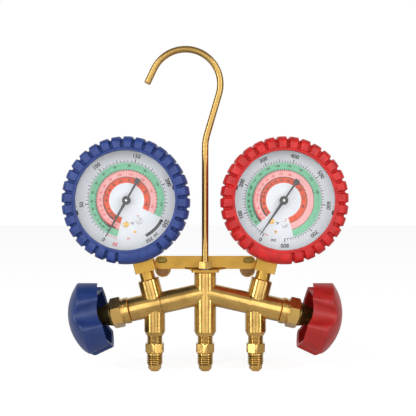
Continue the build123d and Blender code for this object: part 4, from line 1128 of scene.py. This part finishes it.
class GAUGE_OT_studio(bpy.types.Operator):
    """Sets up the floor, backdrop, lamps, room light and camera"""

    bl_idname = "manifold_gauge.studio"
    bl_label = "Set Up Studio"

    def execute(self, context):
        scene = context.scene
        settings = scene.gauge_studio
        make_floor()
        make_world(settings.room_level)
        # The side lamps are upright strips that run level with their aim
        middle, high = (0, 0, 0.11), (0, 0, 0.66)
        add_lamp("key", (-0.95, -0.70, 0.66), high, (0.24, 1.3), settings.key_power)
        add_lamp("fill", (0.86, -0.72, 0.66), high, (0.18, 1.3), settings.fill_power)
        add_lamp("front left", (-0.45, -1.5, 0.3), middle, (0.7, 1.3), settings.front_power)
        add_lamp("front right", (0.45, -1.5, 0.3), middle, (0.7, 1.3), settings.front_power)
        camera = bpy.data.cameras.new("camera")
        camera.lens = settings.focal_length
        camera.sensor_width = 36
        holder = bpy.data.objects.new("camera", camera)
        holder.location = (settings.camera_aside, -settings.camera_distance, settings.camera_height)
        holder.rotation_euler = (math.pi / 2, 0, 0)
        scene.collection.objects.link(holder)
        scene.camera = holder
        scene.view_settings.view_transform = "Standard"
        return {"FINISHED"}


# ---- Panel and registration ----

OPERATORS = (
    GAUGE_OT_finishes,
    GAUGE_OT_boots,
    GAUGE_OT_fittings,
    GAUGE_OT_studs,
    GAUGE_OT_dials,
    GAUGE_OT_dial_screws,
    GAUGE_OT_studio,
)
SETTINGS = {
    "gauge_boot": BootSettings,
    "gauge_dial": DialSettings,
    "gauge_thread": ThreadSettings,
    "gauge_colours": ColourSettings,
    "gauge_studio": StudioSettings,
}


class GAUGE_PT_panel(bpy.types.Panel):
    """Lists the gauge's settings and operators"""

    bl_idname = "GAUGE_PT_panel"
    bl_label = "Manifold Gauge"
    bl_space_type = "VIEW_3D"
    bl_region_type = "UI"
    bl_category = "Manifold Gauge"

    def draw(self, context):
        layout = self.layout
        for attribute, group in SETTINGS.items():
            box = layout.box()
            box.label(text=group.__doc__.rstrip("."))
            settings = getattr(context.scene, attribute)
            for key in group.__annotations__:
                box.prop(settings, key)
        for operator in OPERATORS:
            layout.operator(operator.bl_idname)


CLASSES = (*SETTINGS.values(), *OPERATORS, GAUGE_PT_panel)


def register():
    """Registers the classes and hangs the settings on the scene."""
    for cls in CLASSES:
        bpy.utils.register_class(cls)
    for attribute, group in SETTINGS.items():
        setattr(bpy.types.Scene, attribute, PointerProperty(type=group))


def unregister():
    """Takes the settings off the scene and unregisters the classes."""
    for attribute in SETTINGS:
        delattr(bpy.types.Scene, attribute)
    for cls in reversed(CLASSES):
        bpy.utils.unregister_class(cls)


def main():
    """Registers the classes, dresses the gauge and sets up the studio."""
    register()
    for operator in OPERATORS:
        group, name = operator.bl_idname.split(".")
        getattr(getattr(bpy.ops, group), name)()


if __name__ == "__main__":
    main()
